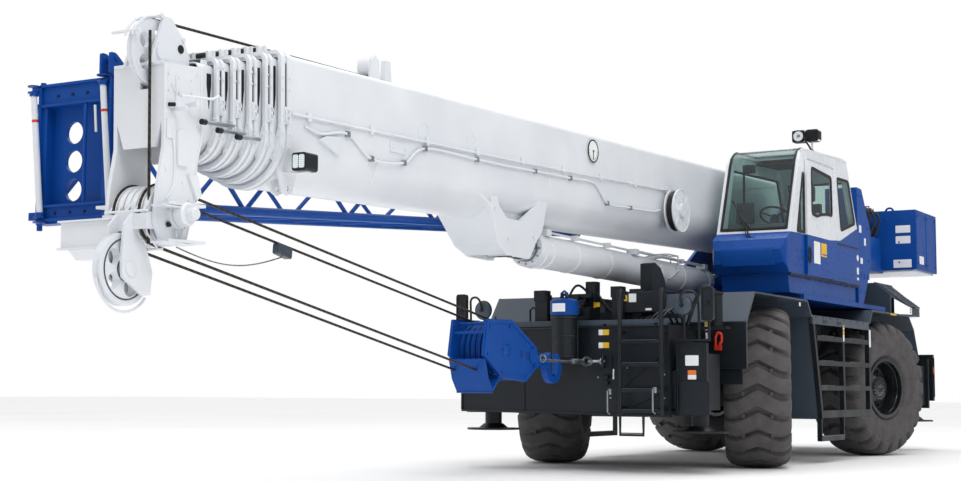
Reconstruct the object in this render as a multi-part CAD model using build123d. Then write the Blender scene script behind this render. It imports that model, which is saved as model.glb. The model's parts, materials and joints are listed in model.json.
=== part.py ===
"""Rough-terrain mobile crane: a two-axle carrier, a slewing superstructure and a six-section boom.

Millimetres, +Z up. The crane faces -Y and its left (cab) side is +X. The origin is on the ground,
at the middle of the overall length and width. Everything is first placed from the point midway
between the two axles, and save() moves it to the origin.
"""
from build123d import *
from math import asin, atan2, cos, degrees, hypot, pi, radians, sin
import os

os.makedirs("parts", exist_ok=True)

# ---------------------------------------------------------------- driving dimensions
DATUM_Y = 3344            # from the middle of the overall length back to mid-wheelbase

WHEELBASE = 4500
AXLE_Y = WHEELBASE / 2
TYRE_R = 926              # over the lugs
TYRE_W = 750
TRACK_HALF = 1294         # wheel centre with the wheels straight
KING_X = 1065             # steering pin
STEER_FRONT = 20          # as parked: front wheels turned to the left
STEER_REAR = -18          # and the rear wheels the other way
RIM_R = 395               # outside of the rim's flanges
RIM_WALL = 26
HUB_R = 215

FRAME_HALF = 480          # the box frame between the wheels
FRAME_Z0 = 1110
FRAME_Z1 = 1760
DECK_Z = 1800             # top of the side decks
DECK_HALF = 1620          # outer edge of decks and fenders

BEAM_W = 300              # outrigger beam, along Y
BEAM_H = 400
BEAM_WALL = 16
BEAM_GAP = 12             # beam to box, all round
BOX_WALL = 20
JACK_X = 1270             # jack centre with the beam in
FRONT_BOX_Y = -3900
REAR_BOX_Y = 4560
BOX_Z0 = 660
BOX_HALF = 1080           # half the box's width; the jack housings stand outside it
JACK_R = 95
FLOAT_R = 300
FLOAT_Z = 430             # underside of a float, stowed
BEAM_LEN = 2100

SLEW_Y = 450              # slewing axis
RING_R = 760
RING_Z0 = FRAME_Z1
RING_Z1 = 2000            # top of the slewing ring
TABLE_T = 60              # turntable plate
CHEEK_IN = 400            # inner face of the two plates that carry the boom
CHEEK_T = 40

PIVOT_Y = 1800            # boom foot pin
PIVOT_Z = 3150
PIVOT_R = 75
DROOP = 1.39              # degrees that the stowed boom falls toward its tip

SECTIONS = 6
BASE_HALF = 380           # half the width of the base section
BASE_TOP = 618            # top of the base section over the foot pin, square to the boom
BASE_H = 1030
BOOM_WALL = 10
STEP = 35                 # each section is this much smaller all round
FLAT_SHARE = 0.62         # share of a section's height that has flat sides
BASE_FRONT = 11950        # from the foot pin to the front of the base section, along the boom
COLLAR = 150              # pitch of the section ends, stowed
TIP_FRONT = 13100         # from the foot pin to the head's front face
HEAD_HALF = 235

FOOT_Y = -450             # lift cylinder's lower pin
FOOT_Z = 2262
EYE_Y = -5900             # lift cylinder's rod eye
EYE_Z = 2340
BARREL_R = 175
ROD_R = 125
CYL_PIN_R = 60
MOUTH_BACK = 440          # from the rod's eye back to the barrel's mouth
EYE_GAP = 12              # between a fork and the eye in it
PIN_FIT = 0.4
SEAT = 0.3                # running seat between a moving piece and what guides it

CAB_IN = 580              # cab, inner side
CAB_OUT = 1520
CAB_Z0 = 2060
CAB_FRONT = -1820
CAB_REAR = 1120
CAB_WALL = 40

CW_HALF = 1600            # counterweight
CW_Y0 = 3720
CW_Y1 = 4910
CW_Z0 = 2690
CW_Z1 = 3580

ENGINE_Y0 = 2650
ENGINE_Z0 = 1250
HOOD_Y0 = 3200
HOOD_Y1 = 4160


# ---------------------------------------------------------------- helpers
def block(x0, x1, y0, y1, z0, z1):
    """A box between two corners."""
    return Pos((x0 + x1) / 2, (y0 + y1) / 2, (z0 + z1) / 2) * Box(abs(x1 - x0), abs(y1 - y0), abs(z1 - z0))


def rod(axis, a, b, p, q, r):
    """A round bar of radius r along axis from a to b; p and q are its other two coordinates."""
    length = abs(b - a)
    mid = (a + b) / 2
    bar = Cylinder(r, length)
    if axis == "x":
        return Pos(mid, p, q) * Rot(0, 90, 0) * bar
    if axis == "y":
        return Pos(p, mid, q) * Rot(90, 0, 0) * bar
    return Pos(p, q, mid) * bar


def plate_x(points, x0, x1):
    """A plate with the outline points (y, z), from x0 to x1."""
    face = Plane.YZ.offset(min(x0, x1)) * make_face(Polyline(*points, close=True))
    return extrude(face, amount=abs(x1 - x0))


def plate_y(points, y0, y1):
    """A plate with the outline points (x, z), from y0 to y1."""
    face = Plane.XZ.offset(-max(y0, y1)) * make_face(Polyline(*points, close=True))
    return extrude(face, amount=abs(y1 - y0))


def plate_z(points, z0, z1):
    """A plate with the outline points (x, y), from z0 to z1."""
    face = Plane.XY.offset(min(z0, z1)) * make_face(Polyline(*points, close=True))
    return extrude(face, amount=abs(z1 - z0))


def strut(a, b, r):
    """A round bar from point a to point b."""
    start = Vector(*a)
    end = Vector(*b)
    way = end - start
    plane = Plane(origin=start, z_dir=way)
    return extrude(plane * Circle(r), amount=way.length)


def flip_x(shape):
    return mirror(shape, about=Plane.YZ)


def both_sides(shape):
    """The shape and its mirror image across the crane's middle plane."""
    return [shape, flip_x(shape)]


def save(name, *shapes):
    """Write one node: its solids, moved from mid-wheelbase to the origin."""
    solids = []
    for shape in shapes:
        for item in (shape if isinstance(shape, (list, tuple)) else [shape]):
            solids.extend((Pos(0, DATUM_Y, 0) * item).solids())
    node = solids[0] if len(solids) == 1 else Compound(children=solids)
    export_step(node, "parts/" + name + ".step")


# ---------------------------------------------------------------- wheels, axles, steering
CORNERS = (               # name, side (+1 left), axle's y, parked steering angle
    ("fl", 1, -AXLE_Y, STEER_FRONT),
    ("fr", -1, -AXLE_Y, STEER_FRONT),
    ("rl", 1, AXLE_Y, STEER_REAR),
    ("rr", -1, AXLE_Y, STEER_REAR),
)
WHEEL_OFF = TRACK_HALF - KING_X
YOKE_Z = 165              # inner faces of the axle's yoke, above and below the hub line
YOKE_T = 60
YOKE_R = 110


LUGS = 22                 # chevron lugs round a tyre
LUG_W = 150
LUG_SLANT = 24            # degrees that each half of a lug slants from straight across
LUG_H = 46


def tyre():
    """A tyre with chevron lugs about the X axis at the origin; both its sides are alike."""
    half = TYRE_W / 2
    bead = half - 96
    foot = RIM_R + 22
    base = TYRE_R - LUG_H
    seat = RIM_R - 3 + SEAT
    right = [(bead, seat), (bead, foot), (half - 12, 560), (half, 660), (half - 30, 790), (half - 70, base - 40),
             (half - 150, base - 8), (0, base)]
    left = [(-x, r) for x, r in right[:-1]][::-1]
    body = revolve(make_face(Polyline(*(right + left), close=True)), axis=Axis.X)
    section = [(-80, base - 20), (-80, TYRE_R), (35, TYRE_R), (150, TYRE_R - 8), (half - 68, TYRE_R - 34),
               (half - 4, base - 42), (half - 2, 745), (half - 40, 745), (half - 90, base - 60), (half - 190, base - 30)]
    face = Plane.XZ.offset(-LUG_W / 2) * make_face(Polyline(*section, close=True))
    bar = Rot(0, 0, -LUG_SLANT) * extrude(face, amount=LUG_W)
    bar = bar & block(0, half, -half, half, 0, TYRE_R + 1)
    pitch = 360 / LUGS
    lugs = []
    for k in range(LUGS):
        lugs += [Rot(pitch * k, 0, 0) * bar, Rot(pitch * k, 0, 0) * flip_x(bar)]
    return body.fuse(*lugs)


def rim():
    """The rim with its well, disc and planetary hub, about the X axis."""
    half = TYRE_W / 2 - 62
    well = RIM_R - RIM_WALL
    outline = Polyline(
        (-half, well), (-half, RIM_R + 18), (-half + 22, RIM_R + 18), (-half + 30, RIM_R - 3),
        (half - 30, RIM_R - 3), (half - 22, RIM_R + 18), (half, RIM_R + 18), (half, well),
        (half - 60, well), (80, well - 40), (80, HUB_R), (150, HUB_R), (190, HUB_R - 60),
        (205, HUB_R - 60), (215, 60), (215, 0), (40, 0), (40, well - 20), (-half + 40, well), close=True)
    return revolve(make_face(outline), axis=Axis.X)


def knuckle(side):
    """Steering knuckle at the king pin, with its spindle toward the wheel; outside is +X times side."""
    body = Cylinder(YOKE_R - 10, 2 * (YOKE_Z - SEAT))
    spindle = rod("x", 0, WHEEL_OFF + 40 - SEAT, 0, 0, 120)
    knuckle_arm = block(-40, 40, 0, 260, -YOKE_Z + 30, -YOKE_Z + 80)
    shape = body + spindle + knuckle_arm
    return shape if side > 0 else flip_x(shape)


def axle(y, facing):
    """One steer-drive axle: banjo housing, tubes and the yokes that hold the knuckles."""
    banjo = Pos(0, y, TYRE_R) * Sphere(260)
    banjo = banjo & block(-300, 300, y - 230, y + 230, TYRE_R - 230, TYRE_R + 184)
    nose = rod("y", y, y + facing * 420, 0, TYRE_R, 110)
    parts = banjo + nose
    for side in (1, -1):
        tube = rod("x", 0, side * (KING_X - 160), y, TYRE_R, 145)
        head = block(side * (KING_X - 190), side * (KING_X - YOKE_R - 12),
                     y - 120, y + 120, TYRE_R - YOKE_Z - YOKE_T, TYRE_R + YOKE_Z + YOKE_T)
        parts = parts + tube + head
        for up in (1, -1):
            z_mid = TYRE_R + up * (YOKE_Z + YOKE_T / 2)
            ear = Pos(side * KING_X, y, z_mid) * Cylinder(YOKE_R, YOKE_T)
            web = block(side * (KING_X - YOKE_R - 12), side * KING_X, y - YOKE_R, y + YOKE_R,
                        z_mid - YOKE_T / 2, z_mid + YOKE_T / 2)
            parts = parts + ear + web
    for side in (1, -1):
        parts = parts + block(side * 330, side * 470, y - 140, y + 140, TYRE_R + 100, FRAME_Z0)
    return parts


def running_gear():
    tyre_shape = tyre()
    rim_shape = rim()
    for name, side, y, angle in CORNERS:
        place = Pos(side * KING_X, y, TYRE_R) * Rot(0, 0, angle)
        wheel_place = place * Pos(side * WHEEL_OFF, 0, 0)
        save("tyre_" + name, wheel_place * tyre_shape)
        if side < 0:
            wheel_place = wheel_place * Rot(0, 0, 180)
        save("rim_" + name, wheel_place * rim_shape)
        save("knuckle_" + name, place * knuckle(side))
    save("axles", axle(-AXLE_Y, 1), axle(AXLE_Y, -1))


# ---------------------------------------------------------------- carrier
BOX_HALF_Y = BEAM_W + 1.5 * BOX_WALL + 2 * BEAM_GAP      # half the depth of a box that holds two beams
BOX_Z1 = BOX_Z0 + BEAM_H + 2 * (BEAM_GAP + BOX_WALL)
BEAM_OFF = BEAM_W / 2 + BEAM_GAP + BOX_WALL / 2          # beam centre from the box's middle
LEGS = (                  # name, side, box centre, beam's place in the box (+1 rearward)
    ("fl", 1, FRONT_BOX_Y, -1),
    ("fr", -1, FRONT_BOX_Y, 1),
    ("rl", 1, REAR_BOX_Y, 1),
    ("rr", -1, REAR_BOX_Y, -1),
)


def outrigger_box(y):
    """A transverse box with two open channels, one for each beam."""
    shell = block(-BOX_HALF, BOX_HALF, y - BOX_HALF_Y, y + BOX_HALF_Y, BOX_Z0, BOX_Z1)
    for off in (-BEAM_OFF, BEAM_OFF):
        half = BEAM_W / 2 + BEAM_GAP
        shell = shell - block(-BOX_HALF - 1, BOX_HALF + 1, y + off - half, y + off + half,
                              BOX_Z0 + BOX_WALL, BOX_Z1 - BOX_WALL)
    pad_top = BOX_Z0 + BOX_WALL + BEAM_GAP - SEAT
    for off in (-BEAM_OFF, BEAM_OFF):
        for side in (1, -1):
            shell = shell + block(side * (BOX_HALF - 110), side * (BOX_HALF - 10), y + off - 100, y + off + 100,
                                  BOX_Z0 + BOX_WALL, pad_top)
    return shell


def carrier_frame():
    """Welded box frame with the ring seat, and gussets that tie it to the two outrigger boxes."""
    front = FRONT_BOX_Y + BOX_HALF_Y
    rear = REAR_BOX_Y - BOX_HALF_Y
    step = ENGINE_Y0 - 60
    spine = plate_x([(front, FRAME_Z0), (front, FRAME_Z1), (step, FRAME_Z1), (step, ENGINE_Z0),
                     (rear, ENGINE_Z0), (rear, FRAME_Z0)], -FRAME_HALF, FRAME_HALF)
    spine = spine - block(-FRAME_HALF + 30, FRAME_HALF - 30, front + 30, step - 30, FRAME_Z0 - 1, FRAME_Z1 - 25)
    neck_f = plate_x([(front, BOX_Z0 + 60), (front, FRAME_Z1), (front + 500, FRAME_Z1), (front + 500, FRAME_Z0)],
                     -FRAME_HALF + 60, FRAME_HALF - 60)
    neck_r = plate_x([(rear, BOX_Z0 + 60), (rear, ENGINE_Z0), (rear - 500, ENGINE_Z0),
                      (rear - 500, FRAME_Z0)], -FRAME_HALF + 60, FRAME_HALF - 60)
    seat = Pos(0, SLEW_Y, (FRAME_Z0 + FRAME_Z1) / 2 + 120) * Cylinder(RING_R + 60, FRAME_Z1 - FRAME_Z0 - 240)
    seat = seat - Pos(0, SLEW_Y, FRAME_Z0) * Cylinder(RING_R - 160, 2 * (FRAME_Z1 - FRAME_Z0) - 60)
    ring = Pos(0, SLEW_Y, (RING_Z0 + RING_Z1 - 40) / 2) * Cylinder(RING_R, RING_Z1 - RING_Z0 - 40)
    ring = ring - Pos(0, SLEW_Y, RING_Z1) * Cylinder(RING_R - 160, 2 * (RING_Z1 - RING_Z0))
    return spine + neck_f + neck_r + seat + ring


FRONT_Y0 = FRONT_BOX_Y - BOX_HALF_Y              # back of the front panel
BODY_Y1 = FRONT_BOX_Y + BOX_HALF_Y               # back of the front body, at the frame
FENDER_T = 25


FRONT_FACE = FRONT_Y0 - 30
WEIGHT_X = -80            # hook weight's axis
WEIGHT_Y = -4440
PERCH_Z = 1200
EYE_R = 19.5


def front_panel():
    """The tall front body over the box, with its deck, boom post, black housing and weight perch."""
    face = plate_y([(-1470, 640), (1100, 600), (1080, 1580), (-940, 1560), (-1080, 1300), (-1470, 1180)],
                   FRONT_FACE, FRONT_Y0)
    deck = block(-1000, 1080, FRONT_Y0, BODY_Y1, 1545, 1580)
    wall_l = block(1050, 1080, FRONT_FACE, BODY_Y1, BOX_Z1, 1580)
    wall_r = block(-1000, -970, FRONT_Y0, BODY_Y1, BOX_Z1, 1580)
    back = block(-1000, 1080, BODY_Y1 - 30, BODY_Y1, BOX_Z1, 1580)
    shelf = block(-1000, 1080, FRONT_Y0, BODY_Y1, BOX_Z1, BOX_Z1 + 30)
    posts = block(-60, 60, -3960, -3840, 1580, 2085) + block(-340, -240, -4130, -4030, 1580, 1900)
    tower = plate_x([(-3690, 1580), (-3690, 2285), (-3600, 2300), (-3450, 2250), (-3330, 2120), (-3290, 1960),
                     (-3290, 1850), (-3450, 1650), (-3450, 1580)], FRAME_HALF + 5, FRAME_HALF + 145)
    perch = block(WEIGHT_X - 170, WEIGHT_X + 170, FRONT_FACE, WEIGHT_Y - 150, PERCH_Z - 30, PERCH_Z)
    return face + deck + wall_l + wall_r + back + shelf + posts + tower + perch


FENDER_TOP = 1975
FENDER_END = 900          # from the axle to the end of a fender's level top
FENDER_LIP = 185          # and on from there to the deck
FRONT_NOSE = ((1170, 1120), (1170, 1640), (910, FENDER_TOP))     # from the axle, height
REAR_NOSE = ((1440, 1340), (1180, 1780), (910, FENDER_TOP))


def fender(facing, y_axle, nose):
    """One bent-plate fender over a left wheel; facing is -1 in front and +1 behind."""
    trail = y_axle - facing * FENDER_END
    t = FENDER_T
    outside = [(y_axle + facing * a, z) for a, z in nose]
    inside = [(y_axle + facing * (a - t), z - (0 if k == 0 else t * 0.6)) for k, (a, z) in enumerate(nose)]
    outline = outside + [
        (trail, FENDER_TOP), (trail - facing * 150, DECK_Z), (trail - facing * FENDER_LIP, DECK_Z),
        (trail - facing * FENDER_LIP, DECK_Z - t), (trail - facing * 130, DECK_Z - t),
        (trail + facing * 12, FENDER_TOP - t)] + inside[::-1]
    skin = plate_x(outline, FRAME_HALF, DECK_HALF)
    web = block(FRAME_HALF, FRAME_HALF + 20, trail, y_axle + facing * 300, FRAME_Z1 - 160, FENDER_TOP - 10)
    return skin + web


def carrier_body():
    save("carrier_frame", carrier_frame())
    save("outrigger_boxes", outrigger_box(FRONT_BOX_Y), outrigger_box(REAR_BOX_Y))
    save("front_body", front_panel())
    save("fenders", both_sides(fender(-1, -AXLE_Y, FRONT_NOSE)), both_sides(fender(1, AXLE_Y, REAR_NOSE)))


LIP_Z = DECK_Z - 105      # lower edge of a side deck's lip


def side_decks():
    """Decks between the fenders, with the transverse mud panels under their ends."""
    y1 = AXLE_Y - FENDER_END - FENDER_LIP
    y0 = -y1
    deck = block(FRAME_HALF, DECK_HALF, y0, y1, DECK_Z - 25, DECK_Z)
    deck = deck - Pos(0, SLEW_Y, DECK_Z) * Cylinder(RING_R + 64, 200)
    deck = deck + block(FRAME_HALF, FRAME_HALF + 20, y0, -450, FRAME_Z1 - 160, DECK_Z - 25)
    lip = block(DECK_HALF - 25, DECK_HALF, y0, y1, LIP_Z, DECK_Z - 25)
    apron = plate_x([(y0, DECK_Z - 25), (y0 + 30, DECK_Z - 25), (y0 + 330, 540), (y0 + 300, 540)],
                    700, DECK_HALF - 60)
    left = deck + lip + apron
    save("side_decks", left, flip_x(left))


def side_ladders():
    """Grid ladders that hang from the side decks, with a swing step below."""
    y0, y1 = -840, 1240
    x0, x1 = DECK_HALF - 60, DECK_HALF - 2
    parts = None
    for y_top, y_bot, w in ((-1150, -850, 70), (10, 40, 70), (y1 - 80, y1 - 80, 80)):
        bar = plate_x([(y_top, LIP_Z), (y_top + w, LIP_Z), (y_bot + w, 550), (y_bot, 550)], x0, x1)
        parts = bar if parts is None else parts + bar
    for z in (1500, 1195, 890, 555):
        parts = parts + block(x0, x1, -1000 + (1500 - z) * 0.16, y1, z, z + (60 if z > 600 else 90))
    step = block(x0, x1, -880, -850, 270, 549) + block(x0, x1, 10, 40, 270, 549) + block(x0, x1, -880, 40, 270, 330)
    parts = parts + step
    save("side_ladders", parts, flip_x(parts))


LADDER_XS = (570, 1050)   # rails of the front ladder


def front_ladder():
    """Ladder and grab rails on the front body's left."""
    y = FRONT_FACE
    parts = None
    for x in LADDER_XS:
        bar = block(x - 30, x + 30, y - 150, y - 90, 610, 1945)
        parts = bar if parts is None else parts + bar
    for z in (640, 880, 1150, 1390):
        parts = parts + block(LADDER_XS[0], LADDER_XS[1], y - 150, y - 90, z, z + 45)
    for x in LADDER_XS:
        for z in (700, 1500):
            parts = parts + rod("y", y - 120, y - 0.3, x, z, 16)
    parts = parts + block(550, 580, y - 140, y - 110, 420, 640) + block(820, 850, y - 140, y - 110, 420, 640)
    parts = parts + block(550, 850, y - 140, y - 110, 395, 425)
    save("front_ladder", parts)


SKIRT_Y0 = 3700


def engine_hood():
    """Engine cover: two raised side housings with sloping tops, and a low middle."""
    z = FENDER_TOP + 10
    side = plate_y([(520, z), (760, 2470), (1110, 2470), (1590, 2110), (1590, z)], HOOD_Y0, HOOD_Y1)
    shell = side - plate_y([(560, z + 25), (780, 2445), (1100, 2445), (1560, 2098), (1560, z + 25)],
                           HOOD_Y0 + 25, HOOD_Y1 - 25)
    middle = block(-525, 525, HOOD_Y0, HOOD_Y1, z, z + 25)
    skirt = block(-1060, 1060, SKIRT_Y0, HOOD_Y1, ENGINE_Z0, z)
    skirt = skirt - block(-1035, 1035, SKIRT_Y0 - 10, HOOD_Y1 - 25, ENGINE_Z0 - 80, z)
    plan = plate_z([(400, HOOD_Y0), (1340, HOOD_Y0), (1570, 3590), (1600, HOOD_Y1 - 290), (1100, HOOD_Y1),
                    (400, HOOD_Y1)], z, 2500)
    louvres = []
    for k in range(7):
        y = HOOD_Y0 + 150 + 85 * k
        louvres.append(plate_y([(1155, 2436), (1155, 2456), (1530, 2175), (1530, 2155)], y, y + 22))
    raised = (shell + louvres) & plan
    save("engine_hood", raised + middle + flip_x(raised) + skirt)
    save("engine", block(-400, 400, ENGINE_Y0, HOOD_Y1 - 200, ENGINE_Z0, 1900))


def carrier_fittings():
    """Hook weight on its perch, mirrors and tail lamps."""
    wx, wy = WEIGHT_X, WEIGHT_Y
    weight = rod("z", PERCH_Z + SEAT, 1700, wx, wy, 145) + plate_z(
        [(wx + 150 * cos(radians(a)), wy + 150 * sin(radians(a))) for a in range(0, 360, 60)], 1700, 1840)
    eye = plate_y([(wx - 45, 1840), (wx + 45, 1840), (wx + 45, 1890), (wx + 20, 1930), (wx - 20, 1930),
                   (wx - 45, 1890)], wy - 20, wy + 20) - rod("y", wy - 30, wy + 30, wx, 1885, EYE_R)
    save("hook_weight", weight + eye)
    y = -4200
    glass = block(1440, 1560, y - 42, y - 10, 1620, 1960) + rod("z", 1410, 1700, 1500, y, 14)
    dial = rod("y", y - 42, y - 10, 1220, 1780, 100) + rod("z", 1410, 1700, 1220, y, 14)
    arm_l = block(1080, 1512, y - 12, y + 12, 1398, 1422)
    arm_r = block(1000, 1512, y - 12, y + 12, 1398, 1422)
    save("mirrors", arm_l + glass + dial, flip_x(arm_r + glass + dial))
    rear = REAR_BOX_Y + BOX_HALF_Y
    tail = block(900, 1500, rear, rear + 12, 800, 1100) + block(1180, 1500, rear + 12, rear + 90, 740, 1450)
    save("tail_lamps", both_sides(tail))


# ---------------------------------------------------------------- outriggers
def beam(name, side, y, place):
    """One hollow beam with its jack housing at the end."""
    y_mid = y + place * BEAM_OFF
    x_in = side * (BOX_HALF + 30 - BEAM_LEN)
    x_out = side * (JACK_X - JACK_R - 45)
    z0 = BOX_Z0 + BOX_WALL + BEAM_GAP
    tube = block(x_in, x_out, y_mid - BEAM_W / 2, y_mid + BEAM_W / 2, z0, z0 + BEAM_H)
    hollow = block(x_in - side, x_out + side, y_mid - BEAM_W / 2 + BEAM_WALL, y_mid + BEAM_W / 2 - BEAM_WALL,
                   z0 + BEAM_WALL, z0 + BEAM_H - BEAM_WALL)
    half = JACK_R + 45
    foot = block(x_out, side * (JACK_X + half), y - half - 80, y + half + 80, z0 - 20, z0 + BEAM_H + 180)
    bore = rod("z", z0 - 40, z0 + BEAM_H + 200, side * JACK_X, y, JACK_R + SEAT)
    facing = 1 if y > 0 else -1
    edge = y + facing * (half + 80)
    guard = block(side * 1110, side * 1460, edge, edge + facing * 60, 630, 1380)
    save("beam_" + name, (tube - hollow) + foot + guard - bore)


def jack(name, side, y, place):
    """Jack tube with its round float."""
    top = BOX_Z0 + BEAM_H + 160
    x = side * JACK_X
    tube = rod("z", FLOAT_Z + 60, top + 60, x, y, JACK_R)
    dish = rod("z", FLOAT_Z, FLOAT_Z + 22, x, y, FLOAT_R)
    cone = Pos(x, y, FLOAT_Z + 46) * Cone(170, 110, 50)
    save("jack_" + name, tube + dish + cone)


def outriggers():
    for leg in LEGS:
        beam(*leg)
        jack(*leg)


# ---------------------------------------------------------------- superstructure
CHEEK_OUT = CHEEK_IN + CHEEK_T
COLUMN_IN = 1060          # blue housing behind the cab


def turntable():
    """Base plate, the two boom plates, the cab floor arm and the tail that carries the counterweight."""
    plate = block(-900, CAB_OUT - 10, -1150, 2350, RING_Z1, CAB_Z0)
    low = RING_Z1 - 40 + SEAT
    disc = Pos(0, SLEW_Y, (low + RING_Z1) / 2) * Cylinder(RING_R - 30, RING_Z1 - low)
    outline = [(-950, RING_Z1), (-950, 2420), (-300, 2520), (1250, 3420), (2150, 3420), (2500, 3200), (CW_Y0, 3200),
               (CW_Y0, 2700), (2700, 2400), (2350, RING_Z1)]
    cheek = plate_x(outline, CHEEK_IN, CHEEK_OUT)
    for y, z, r in ((PIVOT_Y, PIVOT_Z, PIVOT_R + 55), (FOOT_Y, FOOT_Z, CYL_PIN_R + 40)):
        cheek = cheek + rod("x", CHEEK_OUT, CHEEK_OUT + 30, y, z, r)
    cross = block(-CHEEK_OUT, CHEEK_OUT, 2560, CW_Y0, 2700, 2740)
    lug_in = BARREL_R * 0.55 + EYE_GAP
    lug = plate_x([(-620, RING_Z1 + 40), (-620, 2330), (-400, 2380), (-200, RING_Z1 + 40)], lug_in, lug_in + 50)
    foot_pin = rod("x", -CHEEK_OUT - 30, CHEEK_OUT + 30, FOOT_Y, FOOT_Z, CYL_PIN_R)
    pivot_pin = rod("x", -CHEEK_OUT - 30, CHEEK_OUT + 30, PIVOT_Y, PIVOT_Z, PIVOT_R)
    column = plate_x([(CAB_REAR + 20, CAB_Z0), (1060, 3630), (1340, 3620), (1730, 3090), (1720, 2600), (1360, CAB_Z0)],
                     COLUMN_IN, CAB_OUT - 20)
    column = column - block(COLUMN_IN - 1, CAB_OUT - 20, 0, CAB_REAR + 10, CAB_Z0, 3700)
    shelf = block(-1100, 1100, 2450, CW_Y0, 2640, 2700)
    box = block(CHEEK_OUT, 1100, 2450, 3600, 2700, 3150)
    table = plate + disc + cross + foot_pin + pivot_pin + column + shelf + box
    for shape in (cheek, lug):
        table = table + shape + flip_x(shape)
    return table


DRUMS = (                 # name, y, z
    ("winch_main", 2830, 3060),
    ("winch_aux", 3420, 3110),
)


def winch(name, y, z):
    drum = rod("x", -300, 300, y, z, 190) + rod("x", -CHEEK_IN + SEAT, CHEEK_IN - SEAT, y, z, 60)
    for x in (-330, 300):
        drum = drum + rod("x", x, x + 30, y, z, 280)
    save(name, drum)


def superstructure():
    save("turntable", turntable())
    save("counterweight", block(-CW_HALF, CW_HALF, CW_Y0, CW_Y1, CW_Z0, CW_Z1))
    for drum in DRUMS:
        winch(*drum)
    unit = block(620, 1050, 2600, 3550, 3150 + SEAT, 3330) + rod("y", 2560, 3590, 760, 3420, 110)
    for y in (2700, 2950, 3200, 3450):
        unit = unit + rod("z", 3320, 3560, 960, y, 45) + block(900, 1020, y - 50, y + 50, 3540, 3600)
    save("hydraulic_unit", unit)


CREASE_Z = 2290           # the cab body's lower edge; a narrower skirt stands under it
SKIRT_IN = 45
CAB_SIDE = [              # outline of the cab body from the side: y, z
    (-1700, CREASE_Z), (-1820, 2400), (-1850, 2560), (-1790, 2690), (-1640, 2780), (-1290, 3700), (-1210, 3810),
    (-1080, 3862), (470, 3926), (620, 3870), (700, 3720), (CAB_REAR, 2900), (CAB_REAR, CREASE_Z)]
CAB_INSIDE = [
    (-1640, CREASE_Z + 40), (-1760, 2420), (-1785, 2560), (-1735, 2650), (-1590, 2755), (-1245, 3670), (-1180, 3770),
    (-1070, 3820), (460, 3880), (590, 3835), (655, 3700), (CAB_REAR - 50, 2880), (CAB_REAR - 50, CREASE_Z + 40)]
DOOR = (-1090, 20, 2330, 3690)                      # y0, y1, z0, z1
DOOR_GAP = 6              # sliding door, off the cab's side
DOOR_T = 26
DOOR_GLASS = [(-930, 3000), (-930, 3640), (-150, 3600), (-130, 3110), (-700, 3090), (-760, 3000)]
REAR_GLASS = [(330, 2960), (190, 3640), (690, 3650), (960, 3110)]
QUARTER_GLASS = [(-1400, 2810), (-1180, 3540), (-1125, 3540), (-1125, 2810)]


def rounded(inset):
    """Upright block with the cab's rounded plan corners, smaller by inset all round."""
    x0, x1, y0, y1 = CAB_IN + inset, CAB_OUT - inset, -1860 + inset, CAB_REAR - inset
    r = 110
    k = 0.293 * r
    line = Polyline((x0, y0 + r), (x0, y1), (x1, y1), (x1, y0 + r))
    right = ThreePointArc((x1, y0 + r), (x1 - k, y0 + k), (x1 - r, y0))
    front = Polyline((x1 - r, y0), (x0 + r, y0))
    left = ThreePointArc((x0 + r, y0), (x0 + k, y0 + k), (x0, y0 + r))
    return extrude(Plane.XY.offset(2000) * make_face(line + right + front + left), amount=2000)


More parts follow.
